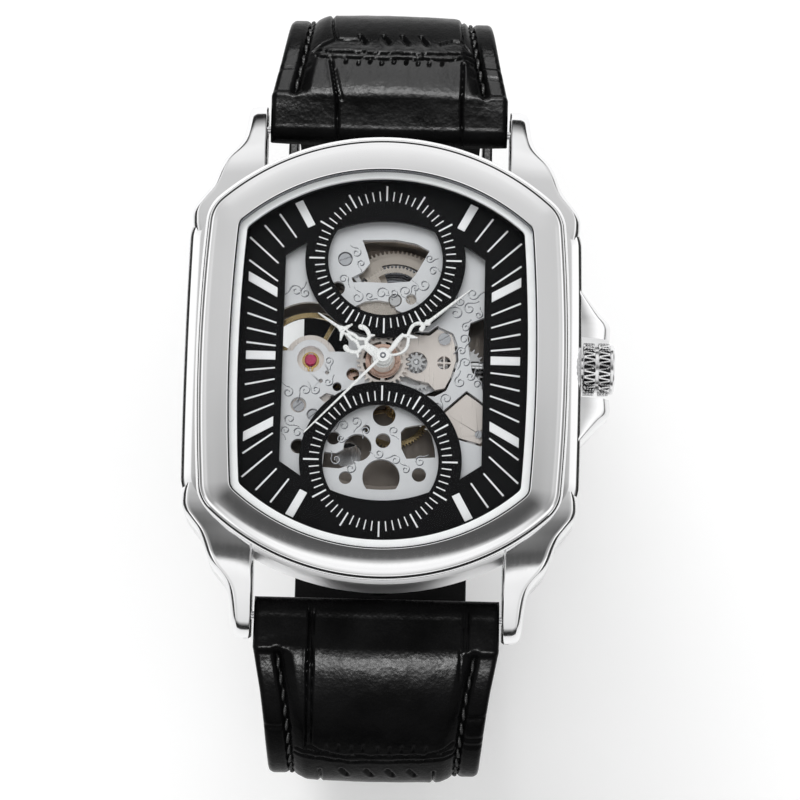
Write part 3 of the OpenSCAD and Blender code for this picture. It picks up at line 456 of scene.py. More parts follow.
outer_x = [(11.0, 18.5), (12.6, 18.85), (13.6, 19.03), (14.4, 19.05), (15.2, 18.84), (16.1, 18.22), (17.3, 17.32), (18.3, 16.88), (19.2, 16.58), (19.9, 16.28), (20.5, 15.9),
           (21.0, 15.45), (21.6, 14.95), (22.2, 14.58), (22.9, 14.32), (23.8, 14.16), (25.2, 14.02), (26.0, 13.93), (26.45, 13.8), (26.7, 13.62), (26.85, 13.38), (26.92, 13.1)]
top_z = [(12.0, 8.25), (15.0, 8.24), (17.0, 8.20), (18.4, 8.13), (19.5, 8.01), (20.5, 7.83), (21.4, 7.60), (22.4, 7.25), (23.6, 6.78), (24.8, 6.18), (25.6, 5.68), (26.2, 5.12), (26.6, 4.60), (26.85, 4.10), (26.93, 3.75)]
low_z = [(12.0, 1.62), (20.0, 1.26), (23.6, 0.92), (25.6, 1.22), (26.3, 1.85), (26.6, 2.30), (26.85, 3.05), (26.93, 3.45)]


def horn(sx, sy):
    ys = [12.6 + 0.3 * i for i in range(46)] + [26.25, 26.4, 26.52, 26.62, 26.7, 26.77, 26.83, 26.88, 26.91, 26.93]
    rings = []
    for y in ys:
        x1 = smooth_table(y, outer_x)
        z1, z0 = smooth_table(y, top_z), smooth_table(y, low_z)
        k = max(0.0, (y - 26.4) / 0.53)
        inset = 0.35 * (1 - math.sqrt(max(0.0, 1 - k * k))) if k > 0 else 0
        rings.append(rrect(y, 12.1 + inset, x1 - inset, z0 + inset, z1, 0.22, 0.85, 0.5, sx, sy))
    return loft(rings)


gx = [(2.98, 22.15), (3.6, 22.2), (4.1, 22.22), (4.6, 22.05), (5.2, 21.45), (6.0, 20.7), (6.8, 19.98), (7.4, 19.45), (7.8, 19.12), (8.2, 18.8)]


def shoulder(sy):
    rings = []
    for i in range(32):
        y = 2.98 + (8.2 - 2.98) * i / 31
        x1 = smooth_table(y, gx)
        rings.append(rrect(y, 17.6, x1, 3.0, 8.0 - 0.10 * (x1 - 19), 0.15, min(1.0, 0.35 + 0.26 * max(0, x1 - 19.1)), 0.6, 1, sy, 6))
        rings[-1] = [(x, q, z - 0.42 * max(0.0, x - 18.9) * max(0.0, z - 3.6) / 4.4) for x, q, z in rings[-1]]
    return loft(rings)


band_prof = [(2.2, 1.62), (0.75, 1.62), (0.42, 1.70), (0.16, 1.92), (0.03, 2.25), (0.0, 2.6), (0.0, 6.9), (0.0, 7.70), (0.02, 7.70), (0.05, 7.73), (0.31, 7.96),
             (0.36, 7.99), (0.50, 8.045), (0.70, 8.12), (0.95, 8.215), (1.15, 8.285), (1.7, 8.30), (2.1, 8.30)]
parts = [loft([ton(d, z) for d, z in band_prof], cap0=False, cap1=False)]
parts += [horn(sx, sy) for sx in (1, -1) for sy in (1, -1)]
parts += [shoulder(sy) for sy in (1, -1)]
v, f = join(parts)
fmats = []
nb_ = len(outline(19.2, 22.0, 300, 25.4, 3.6)) * (len(band_prof) - 1)
for i, q in enumerate(f):
    xm, zm = sum(v[k][0] for k in q) / len(q), sum(v[k][2] for k in q) / len(q)
    fmats.append(1 if i < nb_ and abs(xm) < 12.0 and 1.7 < zm < 8.0 else 0)
mc = make("case_middle", v, f, "case_steel", "case", 30, ["case_steel", "satin_steel"], fmats)
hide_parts("mid_case")
# inner wall behind the dial, so that the band is a closed ring
iw = [(2.2, 1.62), (2.12, 1.66), (2.1, 1.8), (2.1, 8.25), (2.1, 8.3)]
v, f = loft([[(x, y, z) for x, y, _ in tn(d, 0)] for d, z in reversed(iw)], cap0=False, cap1=False)
make("case_inner_wall", v, f, "back_steel", "case", 50)


# ------------------------------------------------------------------ strap
def adv(p, h, L, t):
    if t == 0:
        return (p[0] + L * math.cos(rad(h)), p[1] + L * math.sin(rad(h))), h
    r = L / rad(t)
    return (p[0] + r * (math.sin(rad(h + t)) - math.sin(rad(h))), p[1] + r * (math.cos(rad(h)) - math.cos(rad(h + t)))), h + t


def along(s, path):
    p, h = (24.6, 3.4), -8
    if s < 0:
        return adv(p, h, s, 0)
    for L, t in path:
        if s <= L + 1e-6:
            return adv(p, h, s, t * s / L)
        p, h = adv(p, h, L, t)
        s -= L
    return adv(p, h, s, 0)


short_path = [(3, 0), (12.3, -63), (3.3, -26), (38.1, 0), (23.2, -83)]
long_path = [(3, 0), (11.45, -63), (3, -26), (38.581, 0), (14.817, -76), (8, 0), (17.1, -70), (6, 0)]
OUT_T = [(0, 1.50), (1.0, 1.76), (2.2, 2.10), (3.1, 2.36), (3.7, 2.44), (4.6, 2.51), (7, 2.66), (10, 2.92), (13, 3.08), (20, 3.0), (38, 2.3), (58, 1.7), (120, 1.45)]
IN_T = [(0, 1.5), (4, 1.45), (60, 1.35), (120, 1.3)]
FLARE = [(27.6, 11.85), (29.5, 11.45), (31.4, 11.05), (34.7, 10.55), (36.8, 10.35), (45, 10.3)]


def half_width(y, z):
    w = smooth_table(y, FLARE) if z > -6 else 10.3
    return min(w, smooth_table(-z, [(6, 11.85), (8, 10.3), (25, 10.1), (35, 9.98), (70, 9.98)]))


def n3(x, y, z, k=1.0):
    return noise.noise(Vector((x * k, y * k, z * k)))


def crease_rows(s0, seed, back=1, deep=0.30):
    """Creases of one printed scale border at s0, as (points, depth, half width); x across, s along the strap."""
    out = []
    for off, dep in ((0.0, deep), (0.62, deep)):
        x = -7.6 + 0.3 * n3(s0, off, seed)
        k = 0
        while x < 7.4:
            ln = 1.0 + 1.3 * abs(n3(x * 1.3, off * 3 + k, seed + 1)) * 2
            pts = []
            m = 5
            for i in range(m + 1):
                xx = x + ln * i / m
                bow = 0.42 * (xx / 8) ** 2 * back
                pts.append((xx, s0 + off + bow + 0.20 * n3(xx * 0.9, s0 + off * 2, seed) + 0.07 * n3(xx * 3.1, off, seed + 3)))
            out.append((pts, dep, 0.105))
            x += ln + 0.16 + 0.25 * abs(n3(x, k, seed + 2))
            k += 1
    for i in range(9):
        x = -4.6 + 1.22 * i + 0.3 * n3(i * 1.7, s0, seed + 4)
        a = s0 - 0.55 + 0.2 * n3(i, s0, seed + 5)
        out.append(([(x, a), (x + 0.05, a + (0.22 if back > 0 else -0.45))], 0.66 * deep, 0.11))
    return out


def dents(s0, xs, slant, length, dep=0.30, wid=0.17):
    return [([(x, s0), (x + slant, s0 + length)], dep, wid) for x in xs]


def seg_dist(px, ps, a, b):
    dx, ds = b[0] - a[0], b[1] - a[1]
    q = dx * dx + ds * ds
    t = 0 if q == 0 else max(0.0, min(1.0, ((px - a[0]) * dx + (ps - a[1]) * ds) / q))
    return math.hypot(px - a[0] - t * dx, ps - a[1] - t * ds)


def build_strap(name, path, total, flip, node, body, seed, creases, plain_from, tip, end_r, stitch_to):
    """Padded half: full height in the middle, a flat border outside a sewn channel, embossed scale pattern."""
    back = 1.85 if flip else 1.3
    ss = [-back * math.cos(rad(a)) for a in (4, 10, 18, 26, 35, 45, 55, 65, 75, 84)]
    s = 0.05
    while s < total - 1.7:
        ss.append(s)
        s += 0.13 if s < 16 else (0.22 if s < 45 else 0.45)
    ss += [total - 1.7 + 1.7 * math.sin(rad(a)) for a in range(0, 90, 9)] + [total - 0.004]
    bins = {}
    for pts, dep, wid in creases:
        for a, b in zip(pts, pts[1:]):
            for k in range(int(min(a[1], b[1]) - 0.9), int(max(a[1], b[1]) + 0.9) + 1):
                bins.setdefault(k, []).append((a, b, dep, wid))
    nu = 190
    rings, nb = [], 14
    for s in ss:
        (y, z), h = along(s, path)
        w = half_width(y, z)
        k = total - s
        if tip:
            w = min(w, smooth_table(k, [(0, 3.4), (0.4, 4.6), (1.2, 6.1), (2.4, 7.7), (3.6, 8.8), (5.8, 9.6), (8.5, 10.0), (12, 12)]))
        to, ti = smooth_table(s, OUT_T), smooth_table(s, IN_T)
        if s < 0:
            to = ti = 1.5 * math.sqrt(max(0.0, 1 - (s / back) ** 2))
        if k < 1.7:
            e = math.sqrt(max(0.0, 1 - (1 - k / 1.7) ** 2))
            if not end_r:
                e = 0.35 + 0.65 * e
                to, ti = to * e, ti * e
            else:
                to, ti = max(to * e, 1.6 * e), max(ti * e, 1.6 * e)
        seam = sstep(2.7, 3.6, s) * (1 - sstep(stitch_to - 1.0, stitch_to, s))
        pad = sstep(1.0, 4.5, s) * (1 - 0.75 * sstep(30, plain_from, s))
        ring = []
        near = bins.get(math.floor(s), []) if k > 3 else []
        c, sn = math.cos(rad(h)), math.sin(rad(h))
        for j in range(nu + 1):
            u = -1 + 2 * j / nu
            u = math.copysign(abs(u) ** 0.94, u)
            x = u * w
            e = w - abs(x)
            dome = 1 - (x / w) ** 2
            top = to - 0.06 + (0.08 - 0.40 * (1 - dome)) * pad
            hh = top
            if seam > 0:
                border = to - (0.62 * pad + 0.10) * seam
                blend = sstep(2.2, 3.9, e)
                hh = (border * (1 - blend) + top * blend) * seam + top * (1 - seam)
                hh -= 0.42 * math.exp(-(((e - 2.25) / 0.36) ** 2)) * seam
            if k > 3:
                deep, lip = 0.0, 0.0
                for a, b, dep, wid in near:
                    if abs(x - a[0]) > 4.2 and abs(x - b[0]) > 4.2:
                        continue
                    dd = seg_dist(x, s, a, b)
                    if dd < 4 * wid:
                        deep = max(deep, dep * math.exp(-((dd / wid) ** 2)))
                        lip = max(lip, 0.10 * dep * math.exp(-(((dd - 2.2 * wid) / wid) ** 2)))
                hh += lip - deep
                hh += 0.035 * n3(x * 0.5, s * 0.35, seed) * pad + 0.014 * n3(x * 1.6, s * 1.1, seed + 7)
            r = 0.58
            if e < r:
                hh -= r * (1 - math.sqrt(max(0.0, 1 - (1 - e / r) ** 2))) * 0.95
            hh = max(hh, -ti + 0.12)
            ring.append((x, hh))
        bot = []
        for j in range(nb + 1):
            u = 1 - 2 * j / nb
            x = u * (w - 0.10)
            q = 0.16 if j in (0, nb) else 0.0
            bot.append((x, -ti + q + 0.012 * n3(x, s * 0.4, seed + 3)))
        pts = []
        for x, t in ring + bot:
            Y, Z = y - t * sn, z + t * c
            pts.append((x, -Y if flip else Y, Z))
        rings.append(pts[::-1] if flip else pts)
    v, f = loft(rings)
    n = len(rings[0])
    fm = []
    top = nu + 1
    for q in f:
        if len(q) > 4:
            fm.append(0)
            continue
        js = sorted(i % n for i in q)
        if flip:
            js = sorted(n - 1 - i for i in js)
        fm.append(1 if js[0] >= top and js[-1] < n and js[-1] - js[0] <= 1 else 0)
    o = make(name, v, f, "black_leather", body, 60, ["black_leather", "lining"], fm)
    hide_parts(node)
    return o


def cutter(name, v, f):
    me = bpy.data.meshes.new(name)
    me.from_pydata([(a * MM, b * MM, c * MM) for a, b, c in v], [], f)
    me.materials.append(MAT["black_leather"])
    o = bpy.data.objects.new(name, me)
    bpy.context.scene.collection.objects.link(o)
    o.hide_render = True
    o.hide_viewport = True
    o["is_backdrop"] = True
    return o


def cut(o, tool):
    """Cuts tool out of o now, so that the mesh that rides is the finished one."""
    tool.hide_viewport = False
    bpy.context.view_layer.update()
    md = o.modifiers.new("cut", "BOOLEAN")
    md.operation = "DIFFERENCE"
    md.solver = "EXACT"
    md.object = tool
    dg = bpy.context.evaluated_depsgraph_get()
    me = bpy.data.meshes.new_from_object(o.evaluated_get(dg))
    o.modifiers.remove(md)
    if len(me.polygons) > 0.5 * len(o.data.polygons):
        old = o.data
        o.data = me
        bpy.data.meshes.remove(old)
        o.data.set_sharp_from_angle(angle=rad(50))
    bpy.data.objects.remove(tool)


def vert(x, s0, s1, dep=0.28, wid=0.13, seed=0.0):
    n = max(3, int((s1 - s0) / 1.2))
    return ([(x + 0.16 * n3(i * 0.6, x, seed), s0 + (s1 - s0) * i / n) for i in range(n + 1)], dep, wid)


def border(s0, side, seed):
    return [([(side * 8.2, s0), (side * 9.3, s0 + 0.10), (side * 11.5, s0 - 0.05)], 0.10, 0.20)]


uc = []
uc += [([(-5.15, -1.5), (-5.2, 1.0), (-5.35, 3.0), (-5.75, 5.0), (-6.0, 6.2)], 0.30, 0.15), ([(-4.8, 2.6), (-5.1, 3.6), (-5.55, 5.4)], 0.12, 0.12), vert(7.25, -1.5, 6.3, 0.24, 0.13, 1.0)]
uc += crease_rows(6.55, 3.1) + dents(8.4, (-2.6, -0.2, 1.7, 3.6), -0.62, 0.85)
uc += [([(-2.9, 8.75), (-5.4, 8.85), (-5.9, 8.7), (-7.9, 7.6)], 0.30, 0.12), ([(5.0, 8.5), (6.3, 9.0), (7.2, 8.8), (8.0, 8.0)], 0.26, 0.12)]
uc += [([(-5.6, 8.9), (-5.95, 10.5), (-6.1, 14), (-6.0, 22.5)], 0.28, 0.16), vert(7.2, 9.0, 22.5, 0.26, 0.15, 2.0)]
uc += crease_rows(24.2, 5.1) + dents(26.1, (-2.9, -0.6, 1.5, 3.4), -0.62, 0.85) + [vert(-5.6, 26.4, 40.4, 0.22, 0.15, 3.0), vert(6.6, 26.3, 40.4, 0.22, 0.15, 4.0)]
uc += crease_rows(41.8, 8.4) + dents(43.6, (-2.3, 0.2, 2.4), -0.5, 0.7, 0.2, 0.15) + [vert(0.6, 45.2, 57.0, 0.18, 0.14, 5.0)]
uc += crease_rows(58.6, 9.9)
for q, sd in ((5.9, -1), (5.2, 1), (6.4, 1), (14.5, -1), (23.3, 1), (24.9, -1), (33.0, 1), (41.0, -1)):
    uc += border(q, sd, q)
up = build_strap("strap_upper_leather", short_path, 81.1, False, "strap_upper", "strap_upper", 3.1, uc, 60, False, True, 62.0)
lc = [vert(-6.55, -1.0, 11.4, 0.26, 0.12, 6.0), vert(-6.05, -0.5, 11.0, 0.20, 0.11, 6.0), vert(8.9, -1.0, 2.9, 0.18, 0.11, 7.0), vert(8.4, -1.0, 2.9, 0.14, 0.11, 7.0), vert(8.1, 2.9, 5.4, 0.10, 0.12, 7.5)]
lc += crease_rows(12.15, 7.7, -1, 0.17) + [([(-6.2, 11.2), (-5.2, 11.75), (-4.4, 11.9)], 0.2, 0.12), ([(5.2, 11.9), (6.4, 11.6), (7.7, 10.9)], 0.2, 0.12)]
lc += dents(14.0, (-3.1, -0.7, 1.4, 3.5), 0.55, 0.8) + [vert(-5.2, 14.3, 28.4, 0.24, 0.15, 8.0), vert(5.9, 14.3, 28.4, 0.24, 0.15, 9.0)]
lc += crease_rows(30.2, 2.2, -1) + dents(32.0, (-2.6, -0.1, 2.3), 0.55, 0.8, 0.22, 0.16) + [vert(-5.8, 32.4, 46.4, 0.2, 0.15, 10.0), vert(5.2, 32.4, 46.4, 0.2, 0.15, 11.0)]
lc += crease_rows(48.2, 4.4, -1)
for q, sd in ((8.6, 1), (10.6, 1), (9.8, -1), (11.3, 1), (20.0, -1), (27.0, 1), (36.0, -1), (44.0, 1)):
    lc += border(q, sd, q)
lw = build_strap("strap_lower_leather", long_path, 101.95, True, "strap_lower", "strap_lower", 7.7, lc, 52, True, False, 98.0)


def box_v(x0, x1, pts):
    """Prism of the (y, z) polygon pts between x0 and x1."""
    n = len(pts)
    v = [(x0, y, z) for y, z in pts] + [(x1, y, z) for y, z in pts]
    f = [tuple(range(n)), tuple(range(2 * n - 1, n - 1, -1))] + [(i, n + i, n + (i + 1) % n, (i + 1) % n) for i in range(n)]
    return v, f


(by, bz_), bh = along(79.9, short_path)
by, bz_ = by - 1.191, bz_ + 0.146
ca, sa = math.cos(rad(-7)), math.sin(rad(-7))
cut(up, cutter("slot_tool", *box_v(-1.5, 1.5, [(by + ca * a - sa * b, bz_ + sa * a + ca * b) for a, b in ((-4.2, -4.5), (4.1, -4.5), (4.1, 4.5), (-4.2, 4.5))])))
tools = []
for i in range(7):
    (y, z), h = along(79.618 + 8.0 - i * 6.5, long_path)
    c, sn = math.cos(rad(h)), math.sin(rad(h))
    ra, rb = [], []
    for k in range(24):
        a = rad(15 * k)
        x, t = 0.95 * math.cos(a), 0.95 * math.sin(a)
        for lst, q in ((ra, -3.5), (rb, 3.5)):
            Y, Z = y + t * c - q * sn, z + t * sn + q * c
            lst.append((x, -Y, Z))
    tools.append(loft([ra, rb]))
cut(lw, cutter("hole_tool", *join(tools)))


# stitching: short slanting stitches sunk in the channel
def stitches(name, path, s0, s1, flip, body):
    parts = []
    step = 1.38
    count = int((s1 - s0) / step)
    for side in (1, -1):
        for i in range(count):
            a = s0 + i * step
            pts = []
            for k in range(7):
                u = k / 6
                s = a + 0.10 + (step - 0.26) * u
                (y, z), h = along(s, path)
                w = half_width(y, z)
                to = smooth_table(s, OUT_T)
                pad = sstep(1.0, 4.5, s) * (1 - 0.75 * sstep(30, 56, s))
                base = to - (0.62 * pad + 0.10) - 0.33
                t = base + 0.02 + 0.20 * math.sin(math.pi * u) ** 0.6
                x = side * (w - 2.25 + 0.20 * (u - 0.5))
                pts.append((x, y, z, h, t, 0.17 * (0.45 + 0.55 * math.sin(math.pi * min(max(u, 0.08), 0.92)))))
            rings = []
            for x, y, z, h, t, r in pts:
                c, sn = math.cos(rad(h)), math.sin(rad(h))
                ring = []
                for q in range(8):
                    an = rad(45 * q)
                    xx, tt = x + r * math.cos(an), t + r * 0.8 * math.sin(an)
                    Y, Z = y - tt * sn, z + tt * c
                    ring.append((xx, -Y if flip else Y, Z))
                rings.append(ring if flip else ring[::-1])
            parts.append(loft(rings))
    v, f = join(parts)
    return make(name, v, f, "thread", body, None)


stitches("stitching_upper", short_path, 3.6, 61.0, False, "strap_upper")
stitches("stitching_lower", long_path, 3.6, 97.0, True, "strap_lower")


# ------------------------------------------------------------------ printed dial
def bar(x0, y0, x1, y1, w, z0, z1, w2=None):
    d = math.hypot(x1 - x0, y1 - y0)
    nx, ny = -(y1 - y0) / d, (x1 - x0) / d
    a, b = w / 2, (w2 or w) / 2
    q = [(x0 + nx * a, y0 + ny * a), (x0 - nx * a, y0 - ny * a), (x1 - nx * b, y1 - ny * b), (x1 + nx * b, y1 + ny * b)]
    v = [(x, y, z0) for x, y in q] + [(x, y, z1) for x, y in q]
    return v, [(0, 3, 2, 1), (4, 5, 6, 7), (0, 1, 5, 4), (1, 2, 6, 5), (2, 3, 7, 6), (3, 0, 4, 7)]


parts = []
for s in (1, -1):
    for i in range(60):
        a = rad(6 * i)
        big = i % 5 == 0
        r0, r1 = 5.95, 7.45 if big else 6.91
        cx, cy = 0, 10.06 * s
        parts.append(bar(cx + r0 * math.sin(a), cy + r0 * math.cos(a), cx + r1 * math.sin(a), cy + r1 * math.cos(a), 0.15 if big else 0.105, 8.34, 8.372, 0.17 if big else 0.115))
v, f = join(parts)
make("sub_ring_print", v, f, "white_print", "case", 30)
parts = []
for i in range(60):
    deg = 6 * i
    q = min(deg % 180, 180 - deg % 180)
    if deg % 30 == 0 or q > 55:
        continue
    a = rad(deg)
    c, sn = math.cos(a), math.sin(a)
    r0, r1 = (10.45 / abs(c), 13.3 / abs(c)) if q <= 42 else (14.9, 17.8)
    parts.append(bar(r0 * c, r0 * sn, r1 * c, r1 * sn, 0.15, 8.34, 8.375, 0.18))
v, f = join(parts)
make("ray_print", v, f, "white_print", "case", 30)


# ------------------------------------------------------------------ scroll engraving on the open plate: raised ridges in a lighter silver as painted highlight, a dark ribbon beside each as painted shadow
def spiral(cx, cy, r, turn, start, tail, hand):
    """Points of a scroll: a spiral of `turn` turns that runs out into a tail."""
    pts = []
    n = 30
    for i in range(n + 1):
        t = i / n
        a = start + hand * 2 * math.pi * turn * t
        q = r * (0.24 + 0.76 * t)
        pts.append((cx + q * math.cos(a), cy + q * math.sin(a)))
    a = start + hand * 2 * math.pi * turn
    d = (-math.sin(a) * hand, math.cos(a) * hand)
    x, y = pts[-1]
    for i in range(1, 7):
        t = i / 6
        bend = tail * 0.45 * t * t
        pts.append((x + d[0] * tail * t + math.cos(a) * bend, y + d[1] * tail * t + math.sin(a) * bend))
    return pts


def tube(pts, z, r, taper=True, flat=0.75, n=6):
    rings = []
    m = len(pts)
    for i, (x, y) in enumerate(pts):
        a, b = pts[max(i - 1, 0)], pts[min(i + 1, m - 1)]
        d = math.hypot(b[0] - a[0], b[1] - a[1]) or 1
        nx, ny = -(b[1] - a[1]) / d, (b[0] - a[0]) / d
        k = r * (0.55 + 0.45 * math.sin(math.pi * min(1, (i + 1) / m * 1.05))) if taper else r
        rings.append([(x + nx * k * math.cos(rad(360 * q / n)), y + ny * k * math.cos(rad(360 * q / n)), z + k * flat * math.sin(rad(360 * q / n))) for q in range(n)])
    return loft(rings)


def ribbon(pts, z, w):
    v, f = [], []
    m = len(pts)
    for i, (x, y) in enumerate(pts):
        a, b = pts[max(i - 1, 0)], pts[min(i + 1, m - 1)]
        d = math.hypot(b[0] - a[0], b[1] - a[1]) or 1
        nx, ny = -(b[1] - a[1]) / d, (b[0] - a[0]) / d
        k = w * (0.6 + 0.4 * math.sin(math.pi * min(1, (i + 1) / m * 1.05)))
        v += [(x + nx * k, y + ny * k, z), (x - nx * k, y - ny * k, z)]
    for i in range(m - 1):
        f.append((2 * i, 2 * i + 1, 2 * i + 3, 2 * i + 2))
    return v, f


scrolls = [(-8.7, 7.0, .42, 90, 1, .5), (-7.8, 6.8, .36, 200, -1, .5), (-9.2, -3.2, .38, 10, 1, .5), (-7.5, -3.0, .40, 120, 1, .6), (-6.5, -2.9, .34, 250, -1, .5),
           (-5.3, -2.1, .30, 300, 1, .4), (-5.3, 0.0, .30, 30, -1, .4), (-8.9, -5.9, .42, 210, 1, .5), (-8.1, -7.2, .38, 70, -1, .5), (-9.3, -7.0, .32, 160, 1, .4),
           (-2.7, 6.5, .42, 0, 1, .5), (-.3, 6.95, .44, 80, -1, .5), (2.0, 7.2, .42, 180, 1, .5), (3.8, 7.9, .44, 270, -1, .5), (-2.9, 11.0, .34, 20, 1, .4), (4.7, 9.3, .34, 100, -1, .45),
           (-1.5, 6.65, .30, 230, 1, .35), (0.85, 7.0, .30, 310, -1, .35), (2.95, 7.5, .28, 120, 1, .3), (-4.1, 8.3, .34, 60, -1, .45), (-2.4, 9.9, .28, 160, 1, .35), (4.3, 10.6, .30, 250, 1, .35),
           (7.0, 5.1, .46, 40, 1, .5), (8.3, 5.6, .42, 150, -1, .5), (8.6, 7.1, .42, 260, 1, .5), (7.85, 2.5, .42, 20, -1, .5), (8.0, .15, .36, 110, 1, .45), (7.5, -1.8, .40, 200, -1, .5),
           (8.5, -1.2, .32, 300, 1, .4), (9.2, -2.0, .32, 60, -1, .4), (6.2, -3.5, .40, 140, 1, .5), (7.4, 6.3, .34, 220, -1, .4), (9.2, 5.0, .28, 330, 1, .35), (7.6, 1.3, .30, 90, 1, .35),
           (8.0, 3.7, .32, 170, -1, .4), (5.3, -4.3, .30, 30, -1, .35),
           (-3.7, -6.4, .38, 100, 1, .45), (-2.5, -6.0, .38, 10, -1, .45), (1.2, -6.8, .34, 190, 1, .4), (-.2, -9.1, .34, 280, -1, .4), (1.4, -9.7, .36, 60, 1, .4), (3.8, -9.8, .36, 150, -1, .45),
           (-2.9, -10.6, .36, 330, 1, .45), (-4.3, -9.8, .36, 230, -1, .4), (-1.5, -6.9, .30, 140, 1, .35), (2.4, -10.6, .30, 20, 1, .35), (-3.9, -7.7, .28, 250, 1, .3), (0.9, -12.4, .0, 0, 1, 0)]
tubes, shadow_ribs = [], []
for x, y, r, st, hd, tl in scrolls:
    if r <= 0:
        continue
    pts = spiral(x, y, r * 1.42, 1.2, rad(st), tl * 1.5, hd)
    tubes.append(tube(pts, 7.352, 0.048))
    # the dark ribbon, offset to one side of the ridge, is painted shadow
    shadow_ribs.append(ribbon([(a + 0.055, b - 0.07) for a, b in pts], 7.3535, 0.056))
v, f = join(tubes)
make("scroll_ridges", v, f, "scroll", "case", None)
v, f = join(shadow_ribs)
make("scroll_shadow_ribbons", v, f, "engraved", "case", None)


# ------------------------------------------------------------------ cast hands, shock spring, knurled crown
def catmull(pts, n=7):
    out = []
    for i in range(len(pts) - 1):
        p0, p1, p2, p3 = pts[max(i - 1, 0)], pts[i], pts[i + 1], pts[min(i + 2, len(pts) - 1)]
        for j in range(n):
            t = j / n
            out.append(tuple(0.5 * (2 * b + (c - a) * t + (2 * a - 5 * b + 4 * c - d) * t * t + (3 * b - a - 3 * c + d) * t**3) for a, b, c, d in zip(p0, p1, p2, p3)))
    out.append(pts[-1])
    return out


def stroke(pts, z, h, ang):
    """Flat cast bar with bevelled top along (along, across, half width) points, turned to the clock angle ang."""
    pts = catmull(pts)
    q = rad(ang)
    rings = []
    m = len(pts)
    for i, (a, l, w) in enumerate(pts):
        pa, pb = pts[max(i - 1, 0)], pts[min(i + 1, m - 1)]
        d = math.hypot(pb[0] - pa[0], pb[1] - pa[1]) or 1
        na, nl = -(pb[1] - pa[1]) / d, (pb[0] - pa[0]) / d
        ring = []
        for k, t in ((1, 0), (1, 0.55), (0.62, 1), (-0.62, 1), (-1, 0.55), (-1, 0)):
            A, L = a + na * w * k * 1.38, l + nl * w * k * 1.38
            ring.append((A * math.sin(q) + L * math.cos(q), A * math.cos(q) - L * math.sin(q), z + h * t))
        rings.append(ring)
    return loft(rings)


def disc(a, l, r, z, h, ang, n=20):
    q = rad(ang)
    cx, cy = a * math.sin(q) + l * math.cos(q), a * math.cos(q) - l * math.sin(q)
    return loft([[(cx + rr * math.cos(rad(360 * i / n)), cy + rr * math.sin(rad(360 * i / n)), z + t * h) for i in range(n)] for rr, t in ((r, 0), (r, 0.5), (r * 0.94, 0.8), (r * 0.78, 1))])


def mirror_l(pts):
    return [(a, -l, w) for a, l, w in pts]


def collar(r0, r1, z, h, n=40):
    return loft([[(r * math.cos(rad(360 * i / n)), r * math.sin(rad(360 * i / n)), z + t) for i in range(n)] for r, t in ((r0, 0), (r1, 0), (r1, h * 0.7), (r1 - 0.06, h), (r0 + 0.05, h), (r0, h * 0.8))], cap0=False, cap1=False, close_path=True)


HA, MA = 304.2, 50.6
hp = []
curl = [(0.6, 0.22, 0.20), (1.2, 0.20, 0.20), (1.94, 0.16, 0.17), (2.28, 0.42, 0.14), (2.30, 0.92, 0.14), (2.66, 1.24, 0.15), (3.10, 1.38, 0.16), (3.48, 1.30, 0.20)]
inner = [(2.30, 0.46, 0.12), (2.60, 0.44, 0.12), (3.03, 0.20, 0.12), (3.60, 0.24, 0.12), (4.2, 0.10, 0.13), (4.66, 0.0, 0.15)]
for mm in (lambda p: p, mirror_l):
    hp += [stroke(mm(curl), 8.9, 0.19, HA), stroke(mm(inner), 8.9, 0.185, HA), stroke(mm([(2.42, 0.95, 0.12), (2.15, 1.2, 0.10), (1.95, 1.38, 0.05)]), 8.9, 0.17, HA)]
    hp += [stroke(mm([(4.72, 0.0, 0.20), (4.62, 0.42, 0.14), (4.42, 0.86, 0.07)]), 8.9, 0.18, HA)]
    sgn = mm([(0, 1, 0)])[0][1]
    hp += [disc(3.56, sgn * 1.26, 0.25, 8.9, 0.2, HA), disc(4.40, sgn * 0.92, 0.11, 8.9, 0.18, HA)]
hp += [stroke([(4.55, 0, 0.12), (4.9, 0, 0.24), (5.35, 0, 0.13), (6.2, 0, 0.10), (7.2, 0, 0.07), (7.72, 0, 0.03)], 8.9, 0.19, HA), collar(0.66, 1.0, 8.9, 0.2)]
v, f = join(hp)
hh_ = make("hour_hand_cast", v, f, "hand_steel", "hours", 30)
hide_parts("hour_hand")
mp_ = [stroke([(0.55, -0.05, 0.17), (1.3, -0.14, 0.16), (1.6, -0.24, 0.19), (2.3, -0.42, 0.17), (2.95, -0.52, 0.12)], 9.4, 0.19, MA),
       stroke([(0.6, 0.30, 0.10), (1.1, 0.62, 0.10), (1.7, 0.82, 0.11), (2.3, 0.74, 0.12), (2.85, 0.34, 0.12), (3.15, -0.05, 0.12)], 9.4, 0.18, MA),
       stroke([(2.8, -0.46, 0.10), (3.15, -0.12, 0.14), (3.45, 0.22, 0.13), (3.78, 0.60, 0.05)], 9.4, 0.18, MA),
       stroke([(3.1, -0.10, 0.12), (3.55, -0.38, 0.12), (4.15, -0.64, 0.12), (4.72, -0.52, 0.13), (5.02, -0.12, 0.15), (4.74, 0.16, 0.18)], 9.4, 0.185, MA),
       disc(4.62, 0.16, 0.25, 9.4, 0.2, MA),
       stroke([(4.9, -0.14, 0.10), (5.25, -0.04, 0.14), (5.55, 0, 0.25), (5.85, 0, 0.13), (7.0, 0, 0.115), (9.0, 0, 0.09), (10.4, 0, 0.06), (10.8, 0, 0.03)], 9.4, 0.19, MA), collar(0.42, 0.84, 9.4, 0.2)]
v, f = join(mp_)
mh_ = make("minute_hand_cast", v, f, "hand_steel", "minutes", 30)
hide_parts("minute_hand")

